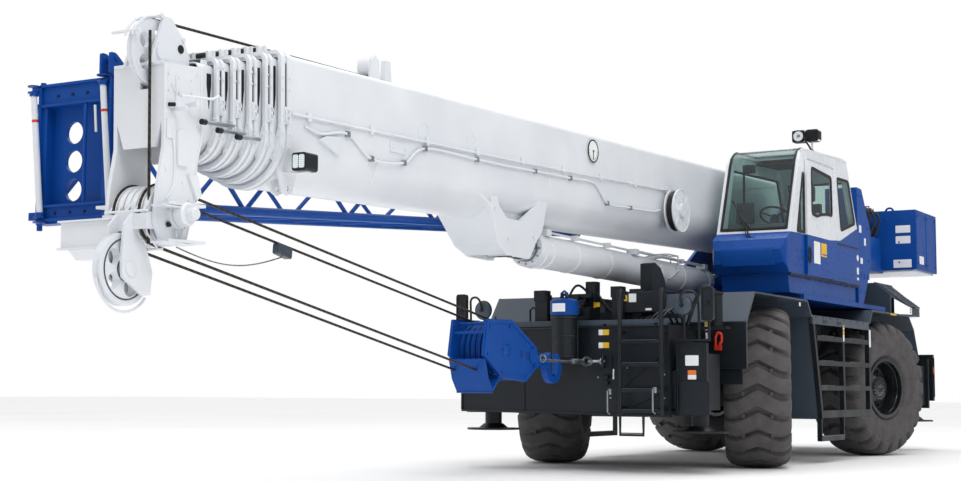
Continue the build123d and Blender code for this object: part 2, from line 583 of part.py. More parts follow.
def cab():
    """Hollow cab shell with window cuts, its sliding door, glass and what stands inside."""
    body = plate_x(CAB_SIDE, CAB_IN, CAB_OUT) & rounded(0)
    room = plate_x(CAB_INSIDE, CAB_IN + CAB_WALL, CAB_OUT - CAB_WALL) & rounded(CAB_WALL)
    shell = body - room
    skirt_side = [(-1570, CAB_Z0), (-1640, CREASE_Z + 30), (CAB_REAR, CREASE_Z + 30), (CAB_REAR, CAB_Z0)]
    skirt = plate_x(skirt_side, CAB_IN + SKIRT_IN, CAB_OUT - SKIRT_IN) & rounded(SKIRT_IN)
    shell = shell + (skirt - room)
    y0, y1, z0, z1 = DOOR
    cuts = [block(CAB_OUT - CAB_WALL - 5, CAB_OUT + 5, y0, y1, z0, z1),
            plate_x(REAR_GLASS, CAB_OUT - 60, CAB_OUT + 5),
            plate_x(QUARTER_GLASS, CAB_OUT - 60, CAB_OUT + 5),
            plate_x([(-1380, 2870), (-1130, 3640), (560, 3700), (880, 3000)], CAB_IN - 5, CAB_IN + 60)]
    front = plate_x([(-1900, 2810), (-1900, 3900), (-900, 3990), (-400, 3990), (-400, 3780), (-1060, 3740),
                     (-1400, 2810)], CAB_IN + 60, CAB_OUT - 60)
    rear = block(CAB_IN + 90, CAB_OUT - 90, 600, CAB_REAR + 10, 2950, 3650)
    for shape in cuts + [front, rear]:
        shell = shell - shape
    rail = block(CAB_OUT, CAB_OUT + DOOR_GAP + DOOR_T, y0 - 30, CAB_REAR, z0 - 34, z0 - 10 - SEAT)
    shell = shell + rail
    lamps = block(1235, 1398, -700, -580, 4005, 4152) + block(1408, 1575, -700, -580, 4005, 4145)
    lamps = lamps + block(1385, 1484, -660, -630, 4030, 4100) + block(1464, 1484, -655, -635, 3845, 4040)
    shell = shell + lamps
    save("cab_shell", shell)
    leaf = block(CAB_OUT + DOOR_GAP, CAB_OUT + DOOR_GAP + DOOR_T, y0 - 15, y1 + 20, z0 - 10, z1 + 20)
    leaf = leaf - plate_x(DOOR_GLASS, CAB_OUT, CAB_OUT + 60)
    save("cab_door", leaf)
    floor = CREASE_Z + 40 + SEAT
    seat = plate_x([(-330, 2660), (-360, 2740), (-330, 2800), (150, 2770), (230, 3330), (250, 3560), (340, 3560),
                    (350, 3330), (290, 2690), (200, 2640)], 850, 1290)
    seat = seat + block(960, 1180, -200, 150, floor, 2660)
    arms = block(780, 840, -330, 180, 2850, 2930) + block(780, 840, -60, 40, floor, 2850)
    arms = arms + block(1300, 1360, -330, 180, 2850, 2930) + block(1300, 1360, -60, 40, floor, 2850)
    column = plate_x([(-1420, floor), (-1260, floor), (-900, 3000), (-960, 3040)], 1030, 1110)
    save("cab_interior", seat, arms, column)


# ---------------------------------------------------------------- boom
SECTION_TAIL = 700        # how far behind the foot pin's forward end each inner section starts
TRAVEL = 9580             # each inner section's stroke


def to_boom(shape):
    """From boom coordinates (foot pin at the origin, boom along -Y) to the crane."""
    return Pos(0, PIVOT_Y, PIVOT_Z) * Rot(DROOP, 0, 0) * shape


def from_boom(shape):
    """From the crane back to boom coordinates."""
    return Rot(-DROOP, 0, 0) * Pos(0, -PIVOT_Y, -PIVOT_Z) * shape


def section_face(step, inset=0):
    """Cross-section of a boom section: flat top and sides, and a round belly."""
    half = BASE_HALF - step * STEP - inset
    top = BASE_TOP - step * STEP - inset
    bottom = BASE_TOP - BASE_H + step * STEP + inset
    waist = bottom + half
    corner = max(50 - inset, 8)
    edge = Polyline((half, waist), (half, top - corner))
    right = ThreePointArc((half, top - corner), (half - 0.293 * corner, top - 0.293 * corner), (half - corner, top))
    roof = Polyline((half - corner, top), (corner - half, top))
    left = ThreePointArc((corner - half, top), (0.293 * corner - half, top - 0.293 * corner), (-half, top - corner))
    other = Polyline((-half, top - corner), (-half, waist))
    belly = ThreePointArc((-half, waist), (0, bottom), (half, waist))
    return make_face(edge + right + roof + left + other + belly)


PAD_BACK = 25             # wear pads, back from a section's front end
PAD_LEN = 80


def tube(step, y_rear, y_front, wall=BOOM_WALL):
    """A hollow boom section from y_rear to y_front (boom coordinates, forward is negative)."""
    length = y_rear - y_front
    plane = Plane.XZ.offset(-y_rear)
    outer = extrude(plane * section_face(step), amount=length)
    inner = extrude(plane * section_face(step, wall), amount=length)
    shape = outer - inner
    if step < SECTIONS - 1:
        plane = Plane.XZ.offset(-(y_front + PAD_BACK + PAD_LEN))
        ring = extrude(plane * section_face(step, wall), amount=PAD_LEN)
        shape = shape + (ring - extrude(plane * section_face(step, STEP - SEAT), amount=PAD_LEN))
    return shape


COLLAR_GROW = 18
COLLAR_GAP = 28           # between the two ribs of a section's front end


def collar(step, y_front, depth):
    """The two thick ribs at the front end of a section."""
    rib = (depth - COLLAR_GAP) / 2
    shape = None
    for y in (y_front, y_front + rib + COLLAR_GAP):
        plane = Plane.XZ.offset(-(y + rib))
        ring = extrude(plane * section_face(step, -COLLAR_GROW), amount=rib)
        ring = ring - extrude(plane * section_face(step, BOOM_WALL), amount=rib)
        shape = ring if shape is None else shape + ring
    return shape


GUSSET_T = 30
GUSSET_IN = 195           # inner faces of the two plates that hold the rod eye
BRACKET_TOP = 2950        # where the bracket's side plates leave the boom's sides
BRACKET_LEAN = 11.7       # degrees that they lean in below that
BRACKET = [(-6800, 3010), (-6760, 2640), (-6490, 2290), (-6280, 2200), (-5850, 2190), (-5640, 2480), (-5640, 3010)]
BRACKET_WINDOW = [(-6690, 3005), (-6690, 2770), (-6590, 2650), (-6400, 2550), (-6120, 2545), (-5900, 2690),
                  (-5790, 2880), (-5790, 3005)]
BRACKET_WEB = [(-7540, 2900), (-7250, 2790), (-6760, 2630), (-6490, 2290), (-6300, 2205), (-6290, 2230),
               (-6470, 2315), (-6730, 2655), (-7240, 2830), (-7540, 2960)]
FORK = [(-6480, 2720), (-6380, 2330), (-6100, 2195), (-5800, 2195), (-5690, 2330), (-5500, 2720)]


def leaning_plate(points, thickness):
    """A side plate of the bracket, leaning in; points are y, z."""
    a = radians(BRACKET_LEAN)
    plane = Plane(origin=(BASE_HALF, 0, BRACKET_TOP), x_dir=(0, 1, 0), z_dir=(cos(a), 0, -sin(a)))
    outline = [(y, (z - BRACKET_TOP) / cos(a)) for y, z in points]
    return extrude(plane * make_face(Polyline(*outline, close=True)), amount=-thickness)


def cylinder_bracket():
    """Box bracket under the boom that carries the lift cylinder's rod eye."""
    side = leaning_plate(BRACKET, GUSSET_T) - leaning_plate(BRACKET_WINDOW, 2 * GUSSET_T)
    side = side - block(300, 500, -6900, -5700, BRACKET_TOP - 6, 3100)
    top = block(BASE_HALF - 15, BASE_HALF, -6800, -5640, BRACKET_TOP - 10, 3010)
    fork = plate_x(FORK, GUSSET_IN, GUSSET_IN + GUSSET_T)
    low, high = BASE_HALF - 160, BASE_HALF
    wedge = plate_y([(-high, BRACKET_TOP), (-high, 3100), (high, 3100), (high, BRACKET_TOP), (low, 2190),
                     (-low, 2190)], -7600, -6200)
    web = plate_x(BRACKET_WEB, -BASE_HALF, BASE_HALF) & wedge
    half = side + top + fork
    return half + flip_x(half) + web


def boom_lugs():
    """Two lugs under the base section's front, and the work lamp on its arm."""
    shape = None
    for x in (190, 290):
        lug = plate_x([(-10100, 2640), (-10000, 2410), (-9940, 2385), (-9880, 2410), (-9790, 2640)], x, x + 22)
        lug = lug - rod("x", x - 1, x + 30, -9940, 2440, 22)
        shape = lug if shape is None else shape + lug
    arm = block(230, 540, -10000, -9940, 2545, 2563)
    lamp = block(440, 560, -10040, -9900, 2563, 2690)
    return shape + arm + lamp


REEL_Y = -2690            # cable reel on the boom's left side
REEL_Z = 2975
REEL_R = 250


def cable_reel():
    """Spring reel for the boom's cable."""
    return (rod("x", BASE_HALF - 8, 455, REEL_Y, REEL_Z, 70) + rod("x", 445, 462, REEL_Y, REEL_Z, REEL_R)
            + rod("x", 455, 550, REEL_Y, REEL_Z, 205) + rod("x", 545, 560, REEL_Y, REEL_Z, REEL_R)
            + rod("x", 555, 600, REEL_Y, REEL_Z, 85))


ROLLER_Z = 3690           # rope roller on top of the base section
ROLLER_YS = (-8490, -8230)


def top_rollers():
    """Rope roller between two cheeks, and the plain post behind it."""
    front, back = ROLLER_YS
    shape = rod("x", 20, 130, front, ROLLER_Z, 85)
    for x in (2, 128):
        shape = shape + plate_x([(front - 90, 3495), (front - 60, 3740), (front, 3785), (front + 60, 3740),
                                 (front + 90, 3495)], x, x + 20)
    return shape + plate_x([(back - 60, 3490), (back - 40, 3780), (back + 40, 3780), (back + 60, 3490)], 60, 110)


def boom_base():
    y_rear = 350
    shape = tube(0, y_rear, -BASE_FRONT) + collar(0, -BASE_FRONT, 130)
    plane = Plane.XZ.offset(-y_rear)
    shape = shape + extrude(plane * section_face(0), amount=30)
    inside = extrude(Plane.XZ.offset(-y_rear) * section_face(0, BOOM_WALL), amount=BASE_FRONT + y_rear)
    for fitting in (cylinder_bracket(), boom_lugs(), cable_reel(), top_rollers()):
        shape = shape + (from_boom(fitting) - inside)
    for x0, x1 in ((BASE_HALF - 70, BASE_HALF + 12), (-BASE_HALF - 12, -BASE_HALF + 70)):
        shape = shape + rod("x", x0, x1, 0, 0, PIVOT_R + 45)
    shape = shape - rod("x", -BASE_HALF - 60, BASE_HALF + 60, 0, 0, PIVOT_R + PIN_FIT)
    return shape


def boom_point(y, z):
    """A point of the crane in boom coordinates."""
    dy, dz = y - PIVOT_Y, z - PIVOT_Z
    a = radians(DROOP)
    return dy * cos(a) + dz * sin(a), -dy * sin(a) + dz * cos(a)


def boom_sections():
    for k in range(1, SECTIONS):
        front = -(BASE_FRONT + k * COLLAR)
        shape = tube(k, -SECTION_TAIL - 60 * k, front)
        if k < SECTIONS - 1:
            shape = shape + collar(k, front, 96)
        save("boom_section_%d" % k, to_boom(shape))


HEAD_TOP = 390            # top of the head's side plates, over the foot pin line
NEST_Y = 129              # lower sheaves, back from the head's front face
NEST_Z = -716
NEST_R = 225
TOP_SHEAVE_Y = 90
TOP_SHEAVE_Z = 467
TOP_SHEAVE_R = 245
TOP_SHEAVE_X = 45
TIP_SHEAVE_Y = -165       # single sheave ahead of the front face
TIP_SHEAVE_Z = -1112
TIP_SHEAVE_R = 258
PIN_R = 42
HEAD_T = 25


def boom_head():
    """Head at the tip of the last section: side plates, front plate, flanges and sheave cheeks."""
    back = -(BASE_FRONT + (SECTIONS - 1) * COLLAR)
    front = -TIP_FRONT
    inner = HEAD_HALF - HEAD_T
    outline = [(front, HEAD_TOP - 20), (back, HEAD_TOP), (back, -150), (back - 50, -340), (back - 60, -560),
               (back - 110, -740), (back - 180, -940), (front - 10, -940), (front - 100, -780), (front - 60, -500),
               (front, -232)]
    parts = plate_x(outline, inner, HEAD_HALF)
    for z in (-925, -660):
        parts = parts + block(HEAD_HALF, HEAD_HALF + 110, front - 70, front + 330, z, z + 22)
    parts = parts + rod("x", HEAD_HALF, HEAD_HALF + 40, front + NEST_Y, NEST_Z, 105)
    parts = parts + plate_x([(back - 160, -420), (back - 60, -420), (back - 20, -560), (back - 70, -600)],
                            HEAD_HALF, HEAD_HALF + 30)
    cheek = plate_x([(front - 40, HEAD_TOP - 25), (front + 50, 560), (front + 120, 735), (front + 200, 735),
                     (front + 330, 600), (front + 395, 480), (front + 399, HEAD_TOP - 25)], 100, 125)
    parts = parts + cheek
    parts = parts + flip_x(parts)
    slot = block(TOP_SHEAVE_X - 38, TOP_SHEAVE_X + 38, front - 1, front + 360, 190, HEAD_TOP + 1)
    face = plate_y([(-inner, HEAD_TOP - 20), (inner, HEAD_TOP - 20), (inner, -50), (150, -232), (-150, -232),
                    (-inner, -50)], front, front + HEAD_T)
    lid = block(-inner, inner, front, back, HEAD_TOP - 45, HEAD_TOP - 20)
    rear = block(-inner, inner, back - 30, back, -300, HEAD_TOP - 20)
    pins = rod("x", -inner, inner, front + NEST_Y, NEST_Z, PIN_R)
    pins = pins + rod("x", -100, 100, front + TOP_SHEAVE_Y, TOP_SHEAVE_Z, PIN_R)
    return parts + (face - slot) + (lid - slot) + rear + pins


def sheave(r, width, y, z, x, spokes=0):
    """A grooved sheave about an axis along X, free on its pin, with round openings between its spokes."""
    disc = rod("x", x - width / 2, x + width / 2, y, z, r)
    groove = Pos(x, y, z) * Rot(0, 90, 0) * Torus(r + 2, width * 0.3)
    shape = disc - groove - rod("x", x - width, x + width, y, z, PIN_R + PIN_FIT)
    for k in range(spokes):
        a = 2 * pi * k / spokes
        shape = shape - rod("x", x - width, x + width, y + 0.55 * r * cos(a), z + 0.55 * r * sin(a), 0.23 * r)
    return shape


def head_sheaves():
    front = -TIP_FRONT
    nest = [to_boom(sheave(NEST_R, 44, front + NEST_Y, NEST_Z, x)) for x in (-150, -90, -30, 30, 90, 150)]
    save("head_sheaves", *nest)
    save("top_sheave", to_boom(sheave(TOP_SHEAVE_R, 50, front + TOP_SHEAVE_Y, TOP_SHEAVE_Z, TOP_SHEAVE_X, 5)))
    y, z = front + TIP_SHEAVE_Y, TIP_SHEAVE_Z
    arm = plate_x([(front - 150, -720), (front - 112, -720), (front - 108, -800), (front - 60, -880),
                   (front - 10, -930), (front + 60, -1130), (front + 40, -1290),
                   (front - 40, -1300), (y - 80, z - 60), (y - 90, z + 60), (front - 230, -800)], 60, 82)
    hanger = block(-82, 82, front - 145, front - 112, -840, -700)
    web = block(-(HEAD_HALF - HEAD_T), HEAD_HALF - HEAD_T, front - 145, front - 112, -830, -720)
    bracket = arm + flip_x(arm) + hanger + web + rod("x", -60, 60, y, z, PIN_R)
    ear = plate_x([(front - 145, -830), (front - 145, -720), (front - 60, -700), (front - 60, -830)],
                  HEAD_HALF - HEAD_T - 30, HEAD_HALF - HEAD_T - SEAT)
    bracket = bracket + ear + flip_x(ear)
    save("tip_bracket", to_boom(bracket))
    save("tip_sheave", to_boom(sheave(TIP_SHEAVE_R, 70, y, z, 0, 5)))


def lift_cylinder():
    """Barrel on the turntable and rod at the boom; the rod eye sits between the boom's gussets."""
    dy, dz = EYE_Y - FOOT_Y, EYE_Z - FOOT_Z
    length = hypot(dy, dz)
    mouth = length - MOUTH_BACK
    half = BARREL_R * 0.55
    barrel = rod("y", -260, -mouth, 0, 0, BARREL_R) - rod("y", -700, -mouth - 1, 0, 0, ROD_R + 5)
    gland = rod("y", -mouth + 120, -mouth, 0, 0, BARREL_R + 12) - rod("y", -mouth + 125, -mouth - 1, 0, 0, ROD_R + SEAT)
    barrel = barrel + gland
    eye = rod("x", -half, half, 0, 0, 130) + block(-half, half, -300, 0, -110, 110)
    barrel = barrel + eye - rod("x", -half - 5, half + 5, 0, 0, CYL_PIN_R + PIN_FIT)
    rod_bar = rod("y", -900, -length + 100, 0, 0, ROD_R)
    rod_eye = rod("x", -GUSSET_IN + EYE_GAP, GUSSET_IN - EYE_GAP, -length, 0, 125)
    angle = -degrees_of(dz, -dy)
    place = Pos(0, FOOT_Y, FOOT_Z) * Rot(angle, 0, 0)
    save("lift_barrel", place * barrel)
    save("lift_rod", place * (rod_bar + rod_eye))


def degrees_of(rise, run):
    return degrees(atan2(rise, run))


JIB_OUT = -1240           # outer and inner side of the stowed jib
JIB_IN = -420
JIB_Y0 = -11100
JIB_Y1 = -1900
JIB_LOW0 = 2245           # lower chord's height at its front and rear ends
JIB_LOW1 = 2850
JIB_TOP = 3050


def jib_low(y):
    return JIB_LOW0 + (JIB_LOW1 - JIB_LOW0) * (y - JIB_Y0) / (JIB_Y1 - JIB_Y0)


def jib():
    """Lattice jib stowed on the boom's right: end frame, four chords and their lacing."""
    y0 = JIB_Y0
    frame = block(JIB_OUT + 40, JIB_IN, y0, y0 + 120, 2120, 3200)
    frame = frame - block(JIB_OUT + 130, JIB_IN - 120, y0 - 1, y0 + 121, 2260, 3020)
    web = block(JIB_OUT + 130, JIB_IN - 120, y0 + 80, y0 + 110, 2260, 3020)
    for z in (2380, 2600, 2820):
        web = web - rod("y", y0 + 70, y0 + 120, -900, z, 85)
    lugs = block(JIB_OUT - 60, JIB_OUT + 40, y0 + 20, y0 + 100, 3000, 3060)
    lugs = lugs + block(JIB_OUT - 60, JIB_OUT + 40, y0 + 20, y0 + 100, 3140, 3200)
    lugs = lugs + block(JIB_OUT - 60, JIB_OUT + 40, y0 + 20, y0 + 100, 2160, 2220)
    parts = frame + web + lugs
    bays = 12
    pitch = (JIB_Y1 - y0 - 200) / bays
    chords = (JIB_OUT + 50, JIB_IN - 90)
    for x in chords:
        parts = parts + strut((x, y0 + 100, jib_low(y0 + 100)), (x, JIB_Y1, JIB_LOW1), 40)
        parts = parts + strut((x, y0 + 100, JIB_TOP), (x, JIB_Y1, JIB_TOP), 35)
    for k in range(bays):
        a = y0 + 160 + pitch * k
        b = a + pitch
        for x in chords:
            low_first = k % 2 == 0
            start = (x, a, jib_low(a) if low_first else JIB_TOP)
            end = (x, b, JIB_TOP if low_first else jib_low(b))
            parts = parts + strut(start, end, 20)
        parts = parts + strut((chords[0], a, jib_low(a)), (chords[1], b, jib_low(b)), 18)
    save("jib", parts)
    save("jib_brackets", *[block(JIB_OUT, -BASE_HALF, y - 60, y + 60, JIB_TOP + 35 + SEAT, JIB_TOP + 90)
                           for y in (-9300, -3300)])


BLOCK_PIN = (-6230, 1270)  # the hook block's sheave axis: y, z
BLOCK_R = 265
BLOCK_HALF = 200
ROPE_LINES = (-90, -30, 30, 90)
ROPE_R = 11


def hook_block():
    """Hook block hauled out level between the tip and the carrier, with its hook."""
    y, z = BLOCK_PIN
    cheek = [(-6610, 1560), (-6110, 1570), (-5600, 1310), (-5580, 1120), (-5830, 960), (-6330, 1000), (-6680, 1210)]
    plate = plate_x(cheek, BLOCK_HALF - 25, BLOCK_HALF)
    parts = plate + flip_x(plate) + rod("x", -BLOCK_HALF, BLOCK_HALF, y, z, 50)
    for x in (-150, -90, -30, 30, 90, 150):
        wheel = rod("x", x - 22, x + 22, y, z, BLOCK_R)
        parts = parts + (wheel - Pos(x, y, z) * Rot(0, 90, 0) * Torus(BLOCK_R + 2, ROPE_R + 2.2))
    trunnion = rod("x", -BLOCK_HALF, BLOCK_HALF, -5690, 1220, 60)
    shank = rod("y", -5690, -5080, 40, 1180, 55)
    hook = rod("x", 5, 75, -4980, 1120, 170) - rod("x", 0, 80, -4975, 1105, 85)
    hook = hook - block(0, 80, -5060, -4890, 1125, 1400)
    save("hook_block", parts + trunnion + shank + hook)


def hoist_ropes():
    """The hoist rope's straight parts, from the head's lower sheaves to the hook block."""
    nest = to_boom(Pos(0, -TIP_FRONT + NEST_Y, NEST_Z) * Box(1, 1, 1)).center()
    y, z = BLOCK_PIN
    run = hypot(y - nest.Y, z - nest.Z)
    tilt = atan2(z - nest.Z, y - nest.Y)
    lean = tilt + asin((NEST_R - BLOCK_R) / run)
    ry, rz = -sin(lean), cos(lean)
    ropes = [strut((x, nest.Y + ry * NEST_R, nest.Z + rz * NEST_R), (x, y + ry * BLOCK_R, z + rz * BLOCK_R), ROPE_R)
             for x in ROPE_LINES]
    save("hoist_ropes", *ropes)


running_gear()
carrier_body()
side_decks()
side_ladders()
front_ladder()
engine_hood()
carrier_fittings()
outriggers()
superstructure()
cab()
save("boom_base", to_boom(boom_base()))
boom_sections()
save("boom_head", to_boom(boom_head()))
head_sheaves()
lift_cylinder()
jib()
hook_block()
hoist_ropes()
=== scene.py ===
"""Rough-terrain mobile crane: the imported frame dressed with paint, glass, hoses, ropes and fittings.

Metres. Lengths are first placed from the point midway between the two axles, and FORE_AFT moves
them to the frame's origin. The crane faces -Y, and its cab stands on the +X side.
"""
import json
import math

import bmesh
import bpy
from mathutils import Matrix, Vector


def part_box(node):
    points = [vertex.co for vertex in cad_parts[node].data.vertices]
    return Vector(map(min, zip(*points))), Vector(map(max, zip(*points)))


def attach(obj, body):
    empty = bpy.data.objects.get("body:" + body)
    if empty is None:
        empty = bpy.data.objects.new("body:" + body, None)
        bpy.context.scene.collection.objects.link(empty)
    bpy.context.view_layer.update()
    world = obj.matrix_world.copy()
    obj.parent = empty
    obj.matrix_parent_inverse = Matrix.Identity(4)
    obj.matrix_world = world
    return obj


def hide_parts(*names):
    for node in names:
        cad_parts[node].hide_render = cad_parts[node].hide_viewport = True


bl_info = {
    "name": "Mobile crane",
    "version": (1, 0, 0),
    "blender": (4, 5, 0),
    "location": "View3D > Sidebar > Crane",
    "description": "Dresses the frame of a rough-terrain mobile crane",
    "category": "Object",
}

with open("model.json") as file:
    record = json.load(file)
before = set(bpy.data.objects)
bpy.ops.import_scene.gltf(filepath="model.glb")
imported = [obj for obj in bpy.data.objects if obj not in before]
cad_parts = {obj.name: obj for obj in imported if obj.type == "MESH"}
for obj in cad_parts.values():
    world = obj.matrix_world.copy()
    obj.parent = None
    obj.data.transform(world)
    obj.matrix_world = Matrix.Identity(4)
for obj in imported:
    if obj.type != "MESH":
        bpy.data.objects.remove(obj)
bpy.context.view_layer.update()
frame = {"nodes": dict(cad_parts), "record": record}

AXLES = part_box("axles")
FORE_AFT = (AXLES[0][1] + AXLES[1][1]) / 2
DROOP = math.radians(1.39)  # how far the stowed boom slopes down to its head
FOOT = (1.8, 3.15)          # the boom's foot pin: y, z


# ---------------------------------------------------------------- mesh helpers
def at(x, y, z):
    """A point given from mid-wheelbase, in the frame."""
    return Vector((x, y + FORE_AFT, z))


def on_boom(x, y, z):
    """A point given from the boom's foot pin, along the boom, in the frame."""
    c, s = math.cos(DROOP), math.sin(DROOP)
    return at(x, FOOT[0] + y * c - z * s, FOOT[1] + y * s + z * c)


def spun(axis, d, p, q):
    """A point d along the axis, and p and q across it."""
    return {"x": (d, p, q), "y": (p, d, q), "z": (p, q, d)}[axis]


def circle(count, r, p=0.0, q=0.0):
    """Evenly spaced points on a circle of radius r about (p, q)."""
    turns = [2 * math.pi * k / count for k in range(count)]
    return [(p + r * math.cos(t), q + r * math.sin(t)) for t in turns]


def moved(centre, points):
    """The points shifted so that their origin lies at centre."""
    return [tuple(c + d for c, d in zip(centre, point)) for point in points]


class Shape:
    """Mesh under construction; place turns a piece's own coordinates into the frame's.

    Every method but piece() returns the shape, so that a short piece fits in one line.
    """

    def __init__(self, place=at):
        self.bm = bmesh.new()
        self.place = place

    def verts(self, points):
        return [self.bm.verts.new(self.place(*p)) for p in points]

    def wrap(self, a, b):
        """Faces all round between two closed loops of as many vertices."""
        for k in range(len(a)):
            m = (k + 1) % len(a)
            self.bm.faces.new((a[k], a[m], b[m], b[k]))

    def solid(self, ring_a, ring_b):
        """Two matching outlines joined by sides and closed by end faces."""
        a, b = self.verts(ring_a), self.verts(ring_b)
        self.bm.faces.new(a[::-1])
        self.bm.faces.new(b)
        self.wrap(a, b)
        return self

    def plate(self, axis, points, a, b):
        """An outline drawn across the axis, from a to b along it."""
        return self.solid([spun(axis, a, p, q) for p, q in points], [spun(axis, b, p, q) for p, q in points])

    def box(self, x0, x1, y0, y1, z0, z1):
        return self.plate("z", pad(x0, x1, y0, y1), z0, z1)

    def lathe(self, axis, centre, profile, sides=32):
        """A profile of (along, radius) pairs turned about the axis through centre; radius 0 closes an end."""
        rings = []
        for along, radius in profile:
            ends = circle(sides, radius) if radius else [(0.0, 0.0)]
            rings.append(self.verts(moved(centre, [spun(axis, along, u, v) for u, v in ends])))
        for a, b in zip(rings, rings[1:]):
            if len(a) == len(b) == 1:
                continue
            for k in range(sides):
                m = (k + 1) % sides
                if len(a) == 1:
                    self.bm.faces.new((a[0], b[k], b[m]))
                elif len(b) == 1:
                    self.bm.faces.new((a[k], b[0], a[m]))
                else:
                    self.bm.faces.new((a[k], b[k], b[m], a[m]))
        return self

    def drum(self, axis, a, b, p, q, r, sides=28, chamfer=0.0):
        """A turned bar from a to b with chamfered ends."""
        lo, hi = min(a, b), max(a, b)
        c = chamfer or min(r, hi - lo) * 0.08
        profile = [(lo, 0), (lo, r - c), (lo + c, r), (hi - c, r), (hi, r - c), (hi, 0)]
        return self.lathe(axis, spun(axis, 0, p, q), profile, sides)

    def tube(self, points, r, sides=10, closed=False):
        """A round bar that follows the points."""
        pts = [self.place(*p) for p in points]
        n = len(pts)
        rings = []
        side = None
        for i, p in enumerate(pts):
            ahead = pts[(i + 1) % n] if closed or i + 1 < n else p
            behind = pts[i - 1] if closed or i > 0 else p
            way = (ahead - behind).normalized()
            if side is None:
                side = way.orthogonal().normalized()
            side = (side - way * side.dot(way)).normalized()
            up = way.cross(side)
            turns = [2 * math.pi * k / sides for k in range(sides)]
            rings.append([self.bm.verts.new(p + (side * math.cos(t) + up * math.sin(t)) * r) for t in turns])
        for a, b in zip(rings, rings[1:]):
            self.wrap(a, b)
        if closed:
            self.wrap(rings[-1], rings[0])
        else:
            self.bm.faces.new(rings[0][::-1])
            self.bm.faces.new(rings[-1])
        return self

    def ring(self, axis, centre, radius, r, sides=40, bar=8, start=0.0, turn=360.0):
        """A round bar bent into a circle or an arc across the axis."""
        closed = turn >= 360
        turns = [math.radians(start + turn * k / sides) for k in range(sides if closed else sides + 1)]
        points = [spun(axis, 0, radius * math.cos(t), radius * math.sin(t)) for t in turns]
        return self.tube(moved(centre, points), r, bar, closed)

    def bolts(self, axis, side, centres, r=0.012, depth=0.010):
        """Six-sided bolt heads that stand off a face toward side."""
        for centre in centres:
            foot = moved(centre, [spun(axis, 0, u, v) for u, v in circle(6, r)])
            self.solid(foot, moved(spun(axis, side * depth, 0, 0), foot))
        return self

    def band(self, axis, outer, inner, a, b):
        """A flat closed frame between two outlines of as many points, from a to b along the axis."""
        loops = [self.verts(spun(axis, d, p, q) for p, q in line)
                 for line, d in ((outer, a), (inner, a), (inner, b), (outer, b))]
        for one, two in zip(loops, loops[1:] + loops[:1]):
            self.wrap(one, two)
        return self

    def piece(self, name, material, body, slot=None, bevel=0.0, smooth=35.0):
        """Turn the mesh into an object that rides on a body."""
        bmesh.ops.recalc_face_normals(self.bm, faces=self.bm.faces)
        mesh = bpy.data.meshes.new(name)
        self.bm.to_mesh(mesh)
        self.bm.free()
        mesh.materials.append(material)
        obj = bpy.data.objects.new(name, mesh)
        bpy.context.scene.collection.objects.link(obj)
        if bevel:
            modifier = obj.modifiers.new("edges", "BEVEL")
            modifier.width = bevel
            modifier.segments = 2
            modifier.limit_method = "ANGLE"
        mesh.shade_smooth()
        mesh.set_sharp_from_angle(angle=math.radians(smooth))
        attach(obj, body)
        return obj


def inset(points, d):
    """A closed outline moved inward by d all round, or outward where d is negative."""
    spots = [Vector(p) for p in points]
    ahead = spots[1:] + spots[:1]
    area = sum(a[0] * b[1] - b[0] * a[1] for a, b in zip(points, points[1:] + points[:1]))
    sign = 1 if area > 0 else -1
    ways = [(b - a).normalized() for a, b in zip(spots, ahead)]
    edges = [Vector((-way.y, way.x)) * sign for way in ways]
    result = []
    for k, (p, q) in enumerate(points):
        move = (edges[k - 1] + edges[k]) * (d / max(0.2, 1 + edges[k - 1].dot(edges[k])))
        result.append((p + move.x, q + move.y))
    return result


def rounded(points, r, steps=4):
    """A closed outline with its corners rounded by about r."""
    result = []
    for k, spot in enumerate(points):
        corner = Vector(spot)
        back, ahead = Vector(points[k - 1]) - corner, Vector(points[(k + 1) % len(points)]) - corner
        a = corner + back.normalized() * min(r, back.length * 0.45)
        b = corner + ahead.normalized() * min(r, ahead.length * 0.45)
        for i in range(steps + 1):
            t = i / steps
            result.append(tuple(a * (1 - t) ** 2 + corner * 2 * t * (1 - t) + b * t * t))
    return result


def pad(p0, p1, q0, q1, r=0.0):
    """A rectangle's outline from p0 to p1 and from q0 to q1, with its corners rounded by r."""
    corners = [(p0, q0), (p1, q0), (p1, q1), (p0, q1)]
    return rounded(corners, r) if r else corners


def beside(line, d):
    """An open line moved sideways by d; positive is to the left of its run."""
    result = []
    for k, spot in enumerate(line):
        ahead = (Vector(line[min(k + 1, len(line) - 1)]) - Vector(line[max(k - 1, 0)])).normalized()
        result.append(tuple(Vector(spot) + Vector((-ahead.y, ahead.x)) * d))
    return result


def strip(line, near, far):
    """Outline of a strip that follows the line between two distances beside it."""
    return beside(line, near) + beside(line, far)[::-1]


def curve(points, count=24):
    """A smooth open line through the points, by Catmull-Rom."""
    spots = [Vector(p) for p in points]
    spots = [spots[0] * 2 - spots[1]] + spots + [spots[-1] * 2 - spots[-2]]
    spans = len(spots) - 3
    result = []
    for k in range(count + 1):
        u = min(k / count * spans, spans - 1e-6)
        i, t = int(u), u - int(u)
        p0, p1, p2, p3 = spots[i:i + 4]
        result.append(tuple(((p1 * 2) + (p2 - p0) * t + (p0 * 2 - p1 * 5 + p2 * 4 - p3) * t * t
                             + (p1 * 3 - p0 - p2 * 3 + p3) * t ** 3) * 0.5))
    return result


def arc_points(start, end, lift, count=12):
    """Points of a hose that leaves start, bows by lift and comes to end."""
    a, b, up = Vector(start), Vector(end), Vector(lift)
    return [tuple(a.lerp(b, k / count) + up * math.sin(math.pi * k / count)) for k in range(count + 1)]


